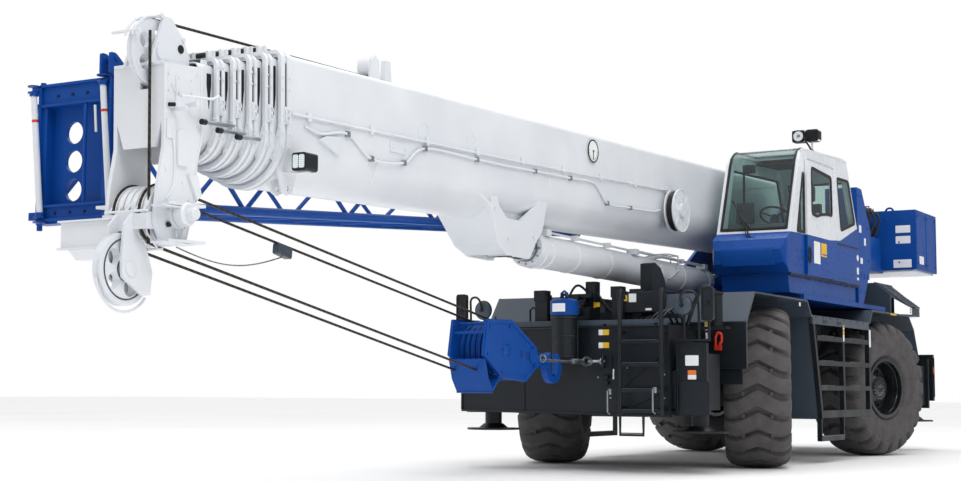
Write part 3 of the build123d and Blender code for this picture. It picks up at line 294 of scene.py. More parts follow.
# ---------------------------------------------------------------- materials
def linear(code):
    """A colour code, #rrggbb as seen on a screen, in the renderer's linear values."""
    values = [int(code[i:i + 2], 16) / 255 for i in (1, 3, 5)]
    return tuple(v / 12.92 if v <= 0.04045 else ((v + 0.055) / 1.055) ** 2.4 for v in values) + (1.0,)


def dial(shader, **values):
    """Set a node's own sockets; an underscore in a name stands for a space."""
    for key, value in values.items():
        shader.inputs[key.replace("_", " ")].default_value = value


def node(tree, kind, links=(), **settings):
    """Add a shader node; settings name its fields or, with a number or colour, its sockets."""
    new = tree.nodes.new(kind)
    for key, value in settings.items():
        if hasattr(new, key):
            setattr(new, key, value)
        else:
            dial(new, **{key: value})
    for socket, source in links:
        tree.links.new(source, new.inputs[socket])
    return new


def surface(name, **values):
    """A new material with its shader, set to the values, and its object coordinates."""
    material = bpy.data.materials.new(name)
    material.use_nodes = True
    tree = material.node_tree
    tree.nodes.clear()
    shader = node(tree, "ShaderNodeBsdfPrincipled")
    dial(shader, **values)
    node(tree, "ShaderNodeOutputMaterial", [(0, shader.outputs[0])])
    return material, tree, shader, node(tree, "ShaderNodeTexCoord").outputs["Object"]


def noise(tree, coords, size_mm, detail):
    """Cloudy noise with patches of size_mm."""
    return node(tree, "ShaderNodeTexNoise", [("Vector", coords)], Scale=1000.0 / size_mm,
                Detail=detail).outputs[0]


def two_colours(tree, share, low, high):
    """One colour where the share is 0, the other where it is 1."""
    mix = node(tree, "ShaderNodeMix", [(0, share)], data_type="RGBA")
    mix.inputs[6].default_value = low
    mix.inputs[7].default_value = high
    return mix.outputs[2]


def mottled(tree, coords, low, high, size_mm, detail=3.0):
    """Two colour codes that drift into each other over patches of size_mm."""
    share = node(tree, "ShaderNodeMapRange", [("Value", noise(tree, coords, size_mm, detail))], From_Min=0.35,
                 From_Max=0.65)
    return two_colours(tree, share.outputs[0], linear(low), linear(high))


def rough_band(tree, coords, low, high, size_mm):
    """Roughness that wanders between low and high over patches of size_mm."""
    return node(tree, "ShaderNodeMapRange", [("Value", noise(tree, coords, size_mm, 4.0))], From_Min=0.3,
                From_Max=0.7, To_Min=low, To_Max=high).outputs[0]


def relief(tree, shader, height, strength, depth_mm):
    """Raised pattern of the given depth."""
    raised = node(tree, "ShaderNodeBump", [("Height", height)], Strength=strength, Distance=depth_mm / 1000.0)
    tree.links.new(raised.outputs[0], shader.inputs["Normal"])


def coated(name, colours, patch_mm, detail, roughness, rough_mm, grain_mm, depth_mm, strength, **values):
    """A surface of two drifting colours, with a wandering roughness and a fine grain."""
    material, tree, shader, coords = surface(name, **values)
    tree.links.new(mottled(tree, coords, *colours, patch_mm, detail), shader.inputs["Base Color"])
    tree.links.new(rough_band(tree, coords, *roughness, rough_mm), shader.inputs["Roughness"])
    relief(tree, shader, noise(tree, coords, grain_mm, 2.0), strength, depth_mm)
    return material


def paint(name, code, shade, low=0.28, high=0.40, coat=0.25, shine=0.5):
    """Sprayed machine paint: even colour with a faint drift, and slight orange peel in the shine."""
    return coated(name, (code, shade), 900.0, 3.0, (low, high), 260.0, 9.0, 0.25, 0.12, IOR=1.5,
                  Specular_IOR_Level=shine, Coat_Weight=coat, Coat_Roughness=0.12)


def rubber(name, code, shade, low=0.62, high=0.8, grain_mm=6.0):
    """Moulded rubber: matt, faintly dusty, with a fine mould grain."""
    return coated(name, (code, shade), 120.0, 6.0, (low, high), 90.0, grain_mm, 0.8, 0.5, IOR=1.52,
                  Specular_IOR_Level=0.35)


def metal(name, code, shade, low, high, grain_mm=5.0, depth_mm=0.3):
    """Bare metal, rolled, cast or drawn, with a wandering shine."""
    return coated(name, (code, shade), 140.0, 5.0, (low, high), 60.0, grain_mm, depth_mm, 0.4, Metallic=1.0)


# Where the cab's blue meets its white: y, z on the side, and the height the line is measured from.
PAINT_LINE = ((-2.0, 2.775), (-1.35, 2.79), (-0.24, 2.79), (0.3, 2.83), (1.2, 3.1))
PAINT_LOW = 2.5


def two_tone(name, lower, upper):
    """Cab paint: blue below and white above a line that dips in a shallow V along the side."""
    material, tree, shader, coords = surface(name, IOR=1.5, Specular_IOR_Level=0.25, Coat_Weight=0.03,
                                             Coat_Roughness=0.08)
    start, end = PAINT_LINE[0][0], PAINT_LINE[-1][0]
    axes = node(tree, "ShaderNodeSeparateXYZ", [("Vector", coords)])
    span = node(tree, "ShaderNodeMapRange", [("Value", axes.outputs[1])], From_Min=FORE_AFT + start,
                From_Max=FORE_AFT + end)
    line = node(tree, "ShaderNodeFloatCurve", [(1, span.outputs[0])])
    points = line.mapping.curves[0].points
    for index, (y, z) in enumerate(PAINT_LINE):
        spot = ((y - start) / (end - start), z - PAINT_LOW)
        if index < 2:
            points[index].location = spot
        else:
            points.new(*spot)
    for point in points:
        point.handle_type = "VECTOR"
    line.mapping.update()
    height = node(tree, "ShaderNodeMath", [(0, line.outputs[0])], operation="ADD")
    height.inputs[1].default_value = PAINT_LOW
    above = node(tree, "ShaderNodeMath", [(0, axes.outputs[2]), (1, height.outputs[0])],
                 operation="GREATER_THAN")
    mix = node(tree, "ShaderNodeMix", [(0, above.outputs[0])], data_type="RGBA")
    tree.links.new(mottled(tree, coords, *lower, 700.0), mix.inputs[6])
    tree.links.new(mottled(tree, coords, *upper, 700.0), mix.inputs[7])
    tree.links.new(mix.outputs[2], shader.inputs["Base Color"])
    tree.links.new(rough_band(tree, coords, 0.22, 0.34, 200.0), shader.inputs["Roughness"])
    relief(tree, shader, noise(tree, coords, 9.0, 2.0), 0.1, 0.2)
    return material


def wire_rope(name):
    """Greased steel wire rope: slanting strands, brown with old grease."""
    material, tree, shader, coords = surface(name, Roughness=0.55, Metallic=0.4)
    lay = node(tree, "ShaderNodeTexWave", [("Vector", coords)], bands_direction="DIAGONAL", Scale=11.0,
               Distortion=0.4).outputs[0]
    tree.links.new(two_colours(tree, lay, linear("#14120f"), linear("#3b3229")), shader.inputs["Base Color"])
    relief(tree, shader, lay, 0.6, 2.0)
    return material


def glass(name):
    """Tempered cab glass: clear and a little green, reflecting on its outer face alone.

    The shader with the glass's own values stays beside the two that are mixed, unconnected.
    """
    material, tree, shader, coords = surface(name, Roughness=0.02, IOR=1.5, Transmission_Weight=1.0)
    tree.links.new(mottled(tree, coords, "#c9dedb", "#bcd4d3", 600.0), shader.inputs["Base Color"])
    clear = node(tree, "ShaderNodeBsdfTransparent", Color=linear("#e3eeec"))
    inside = node(tree, "ShaderNodeNewGeometry").outputs["Backfacing"]
    outside = node(tree, "ShaderNodeMath", [(1, inside)], operation="SUBTRACT")
    outside.inputs[0].default_value = 1.0
    fresnel = node(tree, "ShaderNodeFresnel", IOR=1.5)
    share = node(tree, "ShaderNodeMath", [(0, fresnel.outputs[0]), (1, outside.outputs[0])],
                 operation="MULTIPLY")
    gloss = node(tree, "ShaderNodeBsdfGlossy", Roughness=0.02)
    gloss.inputs[0].default_value = linear("#e8f1f5")
    mix = node(tree, "ShaderNodeMixShader", [(0, share.outputs[0]), (1, clear.outputs[0]),
                                             (2, gloss.outputs[0])])
    tree.links.new(mix.outputs[0], tree.nodes["Material Output"].inputs[0])
    return material


def lens(name, code):
    """Moulded lamp lens or reflector: clear coloured acrylic over a ribbed back, the ribs drawn as bands of
    painted highlight.
    """
    material, tree, shader, coords = surface(name, Roughness=0.12, IOR=1.49, Coat_Weight=0.6)
    ribs = node(tree, "ShaderNodeTexWave", [("Vector", coords)], Scale=20.0, bands_direction="Z")
    base = linear(code)
    # The bands follow the lens's real ribs; their lighter colour is painted highlight, a brightened copy of
    # the lens colour.
    painted_rib_highlight = tuple(min(1.0, v * 1.35 + 0.02) for v in base[:3]) + (1.0,)
    tree.links.new(two_colours(tree, ribs.outputs[0], base, painted_rib_highlight), shader.inputs["Base Color"])
    return material


def cloth(name, code, shade):
    """Woven seat cloth, its threads coarse enough for the weave to show."""
    material, tree, shader, coords = surface(name, Roughness=0.9, Sheen_Weight=0.3)
    warp, weft = (node(tree, "ShaderNodeTexWave", [("Vector", coords)], Scale=40.0, bands_direction=way)
                  for way in ("X", "Z"))
    weave = node(tree, "ShaderNodeMath", [(0, warp.outputs[0]), (1, weft.outputs[0])],
                 operation="MULTIPLY").outputs[0]
    tree.links.new(two_colours(tree, weave, linear(code), linear(shade)), shader.inputs["Base Color"])
    relief(tree, shader, weave, 0.5, 1.0)
    return material


WHITE = paint("sprayed_white_enamel", "#e3e6ea", "#d9dde3", 0.3, 0.42, 0.1)
BLUE = paint("sprayed_blue_enamel", "#0a4a9c", "#094392", 0.32, 0.42, 0.0, 0.22)
BLACK = paint("satin_black_chassis_paint", "#0f151b", "#151b21", 0.34, 0.5, 0.0, 0.35)
GREY = paint("satin_grey_fender_paint", "#414c58", "#3b4550", 0.34, 0.48, 0.1, 0.4)
RIM = paint("gloss_black_wheel_paint", "#14171b", "#1a1e23", 0.2, 0.32, 0.4)
RED = paint("sprayed_red_hook_paint", "#d8331f", "#c92c1c")
YELLOW = paint("yellow_vinyl_plate", "#f0c01c", "#e8b515", 0.35, 0.45, 0.1)
PLATE = paint("white_vinyl_plate", "#f2f3f4", "#e9ebec", 0.35, 0.45, 0.1)
CAB = two_tone("cab_two_tone_enamel", ("#0a4a9c", "#094392"), ("#e6e9ed", "#dde1e6"))
TYRE = rubber("moulded_tyre_rubber", "#4a4849", "#565354")
SEAL = rubber("extruded_window_seal", "#0f1012", "#17181a", 0.4, 0.55, 3.0)
HOSE = rubber("wrapped_hydraulic_hose", "#131416", "#1e2022", 0.45, 0.6, 3.0)
MAT = rubber("moulded_cab_plastic", "#26282b", "#2e3033", 0.5, 0.65, 2.0)
CHROME = metal("hard_chromed_rod", "#cfd3d8", "#c2c7cd", 0.06, 0.14, 30.0, 0.02)
STEEL = metal("galvanised_steel", "#aab0b6", "#8e949b", 0.3, 0.5)
CAST = metal("oiled_cast_steel", "#4b4d50", "#36383b", 0.42, 0.6)
ROPE = wire_rope("greased_wire_rope")
GLASS = glass("tempered_cab_glass")
LENS_RED = lens("red_acrylic_lens", "#b3160f")
LENS_AMBER = lens("amber_acrylic_lens", "#e2701a")
LENS_CLEAR = lens("clear_acrylic_lens", "#d5dde2")
MIRROR = metal("silvered_mirror_glass", "#c9d0d6", "#bfc7ce", 0.03, 0.06, 80.0, 0.01)
CLOTH = cloth("woven_seat_cloth", "#17181b", "#24262a")

FINISHES = {
    "boom_white": WHITE, "crane_blue": BLUE, "chassis_black": BLACK, "fender_grey": GREY,
    "rim_black": RIM, "rim_white": RIM, "tyre_rubber": TYRE, "chrome_rod": CHROME, "dark_steel": CAST,
    "cast_metal": CAST, "seat_cloth": CLOTH,
}
NODE_FINISH = {"cab_shell": CAB, "cab_door": CAB, "hoist_ropes": ROPE, "top_sheave": WHITE,
               "tip_sheave": WHITE, "head_sheaves": WHITE, "hydraulic_unit": BLACK}
for corner in ("fl", "fr", "rl", "rr"):
    NODE_FINISH["jack_" + corner] = BLACK


# ---------------------------------------------------------------- settings
class CraneSettings(bpy.types.PropertyGroup):
    """Sizes that a user may change before the pieces are made."""

    lens: bpy.props.FloatProperty(name="Lens", description="Camera lens", default=59.45, min=20.0)
    floor: bpy.props.FloatProperty(name="Floor", description="Half the floor's width", default=120.0,
                                   unit="LENGTH")
    rope: bpy.props.FloatProperty(name="Rope", description="Hoist rope's diameter", default=0.022,
                                  unit="LENGTH")
    seal: bpy.props.FloatProperty(name="Seal", description="Width of the window seals", default=0.03,
                                  unit="LENGTH")


def settings():
    return bpy.context.scene.crane


EYE = (7.798, -19.82, 0.876)  # the camera, from mid-wheelbase
YAW, TILT, ROLL = (math.radians(turn) for turn in (30.158, 5.392, 0.215))
AHEAD = (-0.5005, 0.8609, 0.0915)  # unit vector along the camera's view
AIM = (0.0, -3.5, 1.8)             # what the lamps face
LAMPS = (                          # name, place from mid-wheelbase, width, power in watts
    ("key", (11.0, -16.0, 15.0), 9.0, 1050.0), ("fill", (-14.0, -13.0, 8.0), 9.0, 320.0),
    ("top", (1.0, 2.0, 17.0), 12.0, 850.0))


class CRANE_OT_stage(bpy.types.Operator):
    """Floor, soft lights, world and camera"""

    bl_idname = "crane.stage"
    bl_label = "Stage"

    def execute(self, context):
        half = settings().floor
        shape = Shape(lambda x, y, z: Vector((x, y, z)))
        shape.bm.faces.new(shape.verts((x, y, 0.0) for x, y in pad(-half, half, -half, half)))
        mesh = bpy.data.meshes.new("floor")
        shape.bm.to_mesh(mesh)
        shape.bm.free()
        material, tree, shader, coords = surface("pale_studio_floor", Roughness=0.9)
        tree.links.new(mottled(tree, coords, "#f6f6f6", "#f2f2f2", 4000.0), shader.inputs["Base Color"])
        mesh.materials.append(material)
        floor = bpy.data.objects.new("floor", mesh)
        context.scene.collection.objects.link(floor)
        world = bpy.data.worlds.new("studio")
        world.use_nodes = True
        tree = world.node_tree
        sky = tree.nodes["Background"]
        sky.inputs[0].default_value = (1.0, 1.0, 1.0, 1.0)
        way = node(tree, "ShaderNodeTexCoord").outputs["Generated"]
        screen = node(tree, "ShaderNodeVectorMath", [(0, way)], operation="DOT_PRODUCT")
        screen.inputs[1].default_value = AHEAD
        lit = node(tree, "ShaderNodeMapRange", [("Value", screen.outputs["Value"])], From_Min=0.86,
                   From_Max=0.94, To_Min=0.34, To_Max=1.0, interpolation_type="SMOOTHSTEP")
        axes = node(tree, "ShaderNodeSeparateXYZ", [("Vector", way)])
        above = node(tree, "ShaderNodeMapRange", [("Value", axes.outputs[2])], From_Min=0.25, From_Max=0.9,
                     To_Min=0.34, To_Max=1.35)
        both = node(tree, "ShaderNodeMath", [(0, lit.outputs[0]), (1, above.outputs[0])], operation="MAXIMUM")
        tree.links.new(both.outputs[0], sky.inputs[1])
        context.scene.world = world
        context.scene.view_settings.view_transform = "Standard"
        for name, place, size, power in LAMPS:
            light = bpy.data.lights.new(name, "AREA")
            light.size = size
            light.energy = power
            lamp = bpy.data.objects.new(name, light)
            lamp.location = at(*place)
            lamp.rotation_euler = (at(*AIM) - at(*place)).to_track_quat("-Z", "Y").to_euler()
            context.scene.collection.objects.link(lamp)
        eye = bpy.data.cameras.new("camera")
        eye.lens = settings().lens
        eye.sensor_width = 36.0
        eye.clip_end = 400.0
        camera = bpy.data.objects.new("camera", eye)
        turn = Matrix.Rotation(YAW, 4, "Z") @ Matrix.Rotation(math.pi / 2 + TILT, 4, "X")
        camera.matrix_world = Matrix.Translation(at(*EYE)) @ turn @ Matrix.Rotation(ROLL, 4, "Z")
        context.scene.collection.objects.link(camera)
        context.scene.camera = camera
        return {"FINISHED"}


class CRANE_OT_finishes(bpy.types.Operator):
    """Paint, rubber and metal on every node of the frame"""

    bl_idname = "crane.finishes"
    bl_label = "Finishes"

    def execute(self, context):
        slots = {part["node"]: part["material_slot"] for part in frame["record"]["subparts"]}
        for name, obj in frame["nodes"].items():
            finish = NODE_FINISH.get(name) or FINISHES[slots[name]]
            obj.data.materials.clear()
            obj.data.materials.append(finish)
        return {"FINISHED"}


# ---------------------------------------------------------------- wheels
AXLE = 2.25               # from mid-wheelbase to an axle
KING = 1.065              # from the middle plane to a king pin
WHEEL_OFF = 0.229         # from a king pin out to the wheel's middle
HUB = 0.926               # an axle's height
CORNERS = (               # name, side (+1 for +X), axle's y, parked steering angle in degrees
    ("fl", 1, -AXLE, 20), ("fr", -1, -AXLE, 20), ("rl", 1, AXLE, -18), ("rr", -1, AXLE, -18))


def on_wheel(side, y, angle):
    """Places a wheel's own coordinates (x outward from its middle, y back, z up from the hub)."""
    turn = Matrix.Rotation(math.radians(angle), 4, "Z")
    place = Matrix.Translation(at(side * KING, y, HUB)) @ turn @ Matrix.Translation((side * WHEEL_OFF, 0, 0))
    if side < 0:
        place = place @ Matrix.Rotation(math.pi, 4, "Z")
    return lambda x, y, z: place @ Vector((x, y, z))


SIDEWALL = (              # half of the tyre's section: across, radius
    (0.292, 0.396), (0.283, 0.422), (0.3, 0.446), (0.316, 0.452), (0.328, 0.47), (0.346, 0.512),
    (0.36, 0.556), (0.363, 0.56), (0.366, 0.566), (0.3645, 0.573), (0.368, 0.59), (0.371, 0.64),
    (0.37, 0.69), (0.364, 0.735), (0.35, 0.775), (0.325, 0.805), (0.29, 0.83), (0.22, 0.855),
    (0.11, 0.866), (0.0, 0.868))
LUGS = 22
TIE_BAR = (0.14, 0.175, math.radians(13.2))  # across from, across to, turn behind its lug
TIE_STEP = ((0.868, -0.034), (0.896, -0.03), (0.896, 0.03), (0.868, 0.034))     # its radius and spread
LUG_SECTION = (           # share of the lug's width, share of its height
    (-0.56, 0), (-0.51, 0.6), (-0.49, 0.88), (-0.46, 1), (0, 1.008), (0.46, 1), (0.49, 0.88),
    (0.51, 0.6), (0.56, 0))
LUG_PATH = (              # half a lug's middle line: across, heights of top and foot, width, turn in degrees
    (0.0, 0.925, 0.855, 0.19, 0.0), (0.03, 0.925, 0.855, 0.19, 0.5), (0.1, 0.924, 0.855, 0.188, 2.9),
    (0.19, 0.917, 0.85, 0.184, 6.1), (0.25, 0.906, 0.84, 0.178, 7.6), (0.305, 0.884, 0.815, 0.17, 8.1),
    (0.345, 0.852, 0.785, 0.156, 8.1), (0.366, 0.812, 0.76, 0.142, 7.9), (0.3735, 0.768, 0.735, 0.128, 7.6))


def lug(shape, side, phase):
    """Half of a chevron lug, from the middle line over the shoulder onto the sidewall."""
    rings = []
    for across, top, foot, width, turn in LUG_PATH:
        ring = []
        for share, level in LUG_SECTION:
            radius = foot + (top - foot) * level
            sink = 0.012 if across > 0.35 and level == 0 else 0.0
            t = phase + math.radians(turn) + share * width / radius
            ring.append((side * (across - sink), radius * math.cos(t), radius * math.sin(t)))
        rings.append(shape.verts(ring))
    for a, b in zip(rings, rings[1:]):
        for k in range(len(a) - 1):
            shape.bm.faces.new((a[k], a[k + 1], b[k + 1], b[k]))
    shape.bm.faces.new(rings[-1][::-1])


class CRANE_OT_tyres(bpy.types.Operator):
    """Four lugged tyres with rounded sidewalls"""

    bl_idname = "crane.tyres"
    bl_label = "Tyres"

    def execute(self, context):
        section = [(-x, r) for x, r in SIDEWALL] + [(x, r) for x, r in SIDEWALL[::-1]][1:]
        for name, side, y, angle in CORNERS:
            place = on_wheel(side, y, angle)
            shape = Shape(lambda a, b, c: place(side * a, side * b, c))
            shape.lathe("x", (0, 0, 0), section, 132)
            for k in range(LUGS):
                phase = math.pi / 2 + 2 * math.pi * k / LUGS
                lug(shape, 1, phase)
                lug(shape, -1, phase)
                t = phase + TIE_BAR[2]
                for half in (-1, 1):
                    shape.solid(*([(half * x, r * math.cos(t + d), r * math.sin(t + d)) for r, d in TIE_STEP]
                                  for x in TIE_BAR[:2]))
            tyre = shape.piece("tyre_rubber_" + name, TYRE, "wheel_" + name, "tyre_rubber", 0.0, 40)
            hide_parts("tyre_" + name)
        return {"FINISHED"}


class CRANE_OT_wheel_parts(bpy.types.Operator):
    """Wheel nuts, lock rings, hub covers and valve stems"""

    bl_idname = "crane.wheel_parts"
    bl_label = "Wheel parts"

    def execute(self, context):
        for name, side, y, angle in CORNERS:
            place = on_wheel(side, y, angle)
            shape = Shape(place)
            for count, radius, x, size in ((24, 0.268, 0.08, 0.017), (16, 0.128, 0.209, 0.012),
                                           (6, 0.045, 0.215, 0.01)):
                shape.bolts("x", 1, [(x, p, q) for p, q in circle(count, radius)], size, size * 1.1)
            shape.lathe("x", (0, 0, 0), [(0.212, 0), (0.222, 0.03), (0.222, 0.055), (0.213, 0.062),
                                         (0.2, 0.062)], 36)
            shape.tube([(0.05, 0.0, 0.345), (0.13, 0.0, 0.352), (0.19, 0.0, 0.338)], 0.008)
            shape.piece("wheel_nuts_" + name, RIM, "wheel_" + name, "rim_black")
            shape = Shape(place)
            for x, radius, r, sides, bar in ((0.303, 0.405, 0.009, 96, 10), (0.245, 0.362, 0.007, 96, 8),
                                             (0.083, 0.236, 0.006, 72, 8)):
                shape.ring("x", (x, 0, 0), radius, r, sides, bar)
            shape.piece("wheel_rings_" + name, RIM, "wheel_" + name, "rim_black")
        return {"FINISHED"}


# ---------------------------------------------------------------- cab
CAB_IN, CAB_OUT = 0.58, 1.52      # the cab's inner and outer side
LEAF_IN, LEAF_OUT = 1.526, 1.552  # the sliding door's faces
SHIELD = ((-1.624, 2.818), (-1.455, 3.262), (-1.318, 3.622), (-1.288, 3.694), (-1.256, 3.748),
          (-1.208, 3.797), (-1.148, 3.832), (-1.078, 3.857), (-0.74, 3.871), (-0.4, 3.885))
SHIELD_FOOT, SHIELD_LEAN = (-1.64, 2.78), 0.3804  # y and z of its foot, and how far back it leans per metre
RIBS = (2.585, 2.495, 2.405)                      # heights of the pressed ribs
DOOR_GLASS = ((-0.93, 3.062), (-0.93, 3.64), (-0.15, 3.6), (-0.13, 3.11), (-0.34, 3.108), (-0.6, 3.078),
              (-0.72, 3.046))
REAR_GLASS = ((0.33, 2.96), (0.19, 3.64), (0.69, 3.65), (0.96, 3.11))
QUARTER_GLASS = ((-1.4, 2.81), (-1.18, 3.54), (-1.125, 3.54), (-1.125, 2.81))
INNER_GLASS = ((-1.38, 2.87), (-1.13, 3.64), (0.56, 3.7), (0.88, 3.0))


def shield_y(z):
    """How far forward the windscreen stands at a height."""
    return SHIELD_FOOT[0] + (z - SHIELD_FOOT[1]) * SHIELD_LEAN


class CRANE_OT_cab_glass(bpy.types.Operator):
    """Windscreen that runs up into the roof, side and rear panes, and their rubber seals"""

    bl_idname = "crane.cab_glass"
    bl_label = "Cab glass"

    def execute(self, context):
        width = settings().seal
        shape = Shape()
        shape.plate("x", strip(SHIELD, 0.004, 0.01), 0.625, 1.475)
        shape.piece("windscreen", GLASS, "superstructure", smooth=60)
        seal = Shape()
        for x in (0.622, 1.478 - width):
            seal.plate("x", strip(SHIELD, -0.004, 0.016), x, x + width)
        for line in (SHIELD[:2], SHIELD[-2:]):
            a, b = Vector(line[0]), Vector(line[1])
            way = (b - a).normalized() * width
            ends = [tuple(a), tuple(a + way)] if line[0] == SHIELD[0] else [tuple(b - way), tuple(b)]
            seal.plate("x", strip(ends, -0.004, 0.016), 0.622, 1.478)
        seal.piece("windscreen_seal", SEAL, "superstructure", bevel=0.003, smooth=60)
        panes = (("quarter", QUARTER_GLASS, CAB_OUT - 0.012, CAB_OUT + 0.003, "superstructure", 0.018),
                 ("side_rear", REAR_GLASS, CAB_OUT - 0.012, CAB_OUT + 0.002, "superstructure", 0.05),
                 ("inner_side", INNER_GLASS, CAB_IN + 0.012, CAB_IN - 0.003, "superstructure", 0.06),
                 ("door", DOOR_GLASS, LEAF_OUT - 0.01, LEAF_OUT + 0.003, "door", 0.05))
        for name, outline, back, front, body, corner in panes:
            loop = rounded(outline, corner)
            shape = Shape()
            shape.plate("x", inset(loop, 0.004), (back + front) / 2, (back + front) / 2 + 0.005)
            shape.piece(name + "_pane", GLASS, body)
            shape = Shape()
            lip = {"side_rear": 0.0, "inner_side": -0.004}.get(name, 0.004)
            shape.band("x", inset(loop, -0.016), inset(loop, 0.022), back, front + lip)
            shape.piece(name + "_seal", SEAL, body, bevel=0.002)
        shape = Shape()
        slope = Vector((0.42, -0.82)).normalized()
        top = Vector((0.735, 3.652))
        foot = top + slope * 0.8
        shape.plate("x", strip([tuple(top), tuple(foot)], -0.004, -0.01), 0.665, 1.435)
        shape.piece("rear_pane", GLASS, "superstructure")
        shape = Shape()
        for x in (0.655, 1.417):
            shape.plate("x", strip([tuple(top), tuple(foot)], -0.014, 0.01), x, x + 0.028)
        for spot in (top, foot - slope * 0.028):
            shape.plate("x", strip([tuple(spot), tuple(spot + slope * 0.028)], -0.014, 0.01), 0.655, 1.445)
        shape.piece("rear_seal", SEAL, "superstructure", bevel=0.002)
        shape = Shape()
        shape.box(CAB_IN - 0.006, CAB_IN + 0.02, -0.715, -0.69, 2.955, 3.655)
        shape.piece("inner_side_bar", SEAL, "superstructure", bevel=0.002)
        return {"FINISHED"}


class CRANE_OT_cab_seat(bpy.types.Operator):
    """Operator's seat, armrests with their levers, steering wheel and consoles"""

    bl_idname = "crane.cab_seat"
    bl_label = "Cab seat"

    def execute(self, context):
        cushion = Shape()
        cushion.plate("x", rounded([(-0.33, 2.66), (-0.355, 2.74), (-0.33, 2.8), (0.13, 2.77), (0.17, 2.66)],
                                   0.04), 0.86, 1.28)
        cushion = cushion.piece("seat_cushion", CLOTH, "superstructure", "seat_cloth", bevel=0.03, smooth=70)
        back = Shape()
        back.plate("x", rounded([(0.13, 2.72), (0.215, 3.32), (0.315, 3.33), (0.275, 2.7)], 0.04), 0.855,
                   1.285)
        back = back.piece("seat_back", CLOTH, "superstructure", "seat_cloth", bevel=0.03, smooth=70)
        rest = Shape()
        rest.plate("x", rounded([(0.225, 3.36), (0.245, 3.56), (0.335, 3.56), (0.325, 3.36)], 0.035), 0.95,
                   1.19)
        rest = rest.piece("head_rest", CLOTH, "superstructure", "seat_cloth", bevel=0.03, smooth=70)
        frame_parts = Shape()
        for x in (1.02, 1.12):
            frame_parts.tube([(x, 0.262, 3.3), (x, 0.285, 3.4)], 0.009)
        frame_parts.plate("x", [(-0.2, 2.3303), (-0.16, 2.66), (0.12, 2.66), (0.15, 2.3303)], 0.96, 1.18)
        for x in (0.78, 1.3):
            frame_parts.plate("x", pad(-0.33, 0.18, 2.85, 2.93, 0.03), x, x + 0.06)
            frame_parts.box(x, x + 0.06, -0.06, 0.04, 2.3303, 2.85)
        for x in (0.81, 1.33):
            for y in (-0.28, -0.2):
                frame_parts.tube([(x, y, 2.92), (x, y - 0.01, 3.03)], 0.007)
                frame_parts.lathe("z", (x, y - 0.01, 3.02), [(0, 0), (0.004, 0.012), (0.03, 0.021),
                                                             (0.05, 0.016), (0.058, 0)], 16)
        frame_parts.plate("x", [(-1.42, 2.3303), (-1.26, 2.3303), (-0.9, 3.0), (-0.96, 3.04)], 1.03, 1.11)
        base = frame_parts.piece("seat_frame", MAT, "superstructure", bevel=0.005)
        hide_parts("cab_interior")
        hub, tilt = at(1.07, -0.925, 3.035), Matrix.Rotation(math.radians(-32), 3, "X")
        wheel = Shape(lambda x, y, z: hub + tilt @ Vector((x, y, z)))
        wheel.ring("z", (0, 0, 0.03), 0.185, 0.014, 48, 10)
        wheel.lathe("z", (0, 0, 0), [(-0.04, 0), (-0.04, 0.045), (0.02, 0.05), (0.03, 0.035), (0.032, 0)], 24)
        for turn in (90, 210, 330):
            t = math.radians(turn)
            wheel.tube([(0.03 * math.cos(t), 0.03 * math.sin(t), 0.01),
                        (0.185 * math.cos(t), 0.185 * math.sin(t), 0.03)], 0.011)
        wheel.piece("steering_wheel", MAT, "superstructure")
        dash = Shape()
        dash.plate("x", rounded([(-1.52, 2.62), (-1.5, 2.86), (-1.33, 2.93), (-1.18, 2.86), (-1.2, 2.62)],
                                0.03), 0.66, 1.44)
        dash.plate("x", rounded([(-1.05, 2.36), (-1.05, 2.98), (-0.92, 3.02), (-0.35, 2.9), (-0.35, 2.36)],
                                0.04), 0.635, 0.745)
        dash.plate("x", rounded([(-1.3, 2.95), (-1.27, 3.2), (-1.24, 3.2), (-1.22, 2.95)], 0.01), 0.7, 0.92)
        dash.box(0.63, 1.47, 0.45, 0.95, 2.34, 2.75)
        dash.piece("cab_consoles", MAT, "superstructure", bevel=0.006)
        lining = Shape()
        lining.plate("x", [(-0.38, 3.815), (0.45, 3.862), (0.45, 3.83), (-0.38, 3.785)], 0.64, 1.46)
        lining.box(0.72, 0.86, -1.1, -1.0, 3.6, 3.7)
        lining.lathe("y", (0.8, -1.1, 3.65), [(-0.03, 0), (-0.03, 0.05), (0.0, 0.055), (0.01, 0)], 20)
        lining.piece("cab_lining", MAT, "superstructure", bevel=0.004)
        return {"FINISHED"}


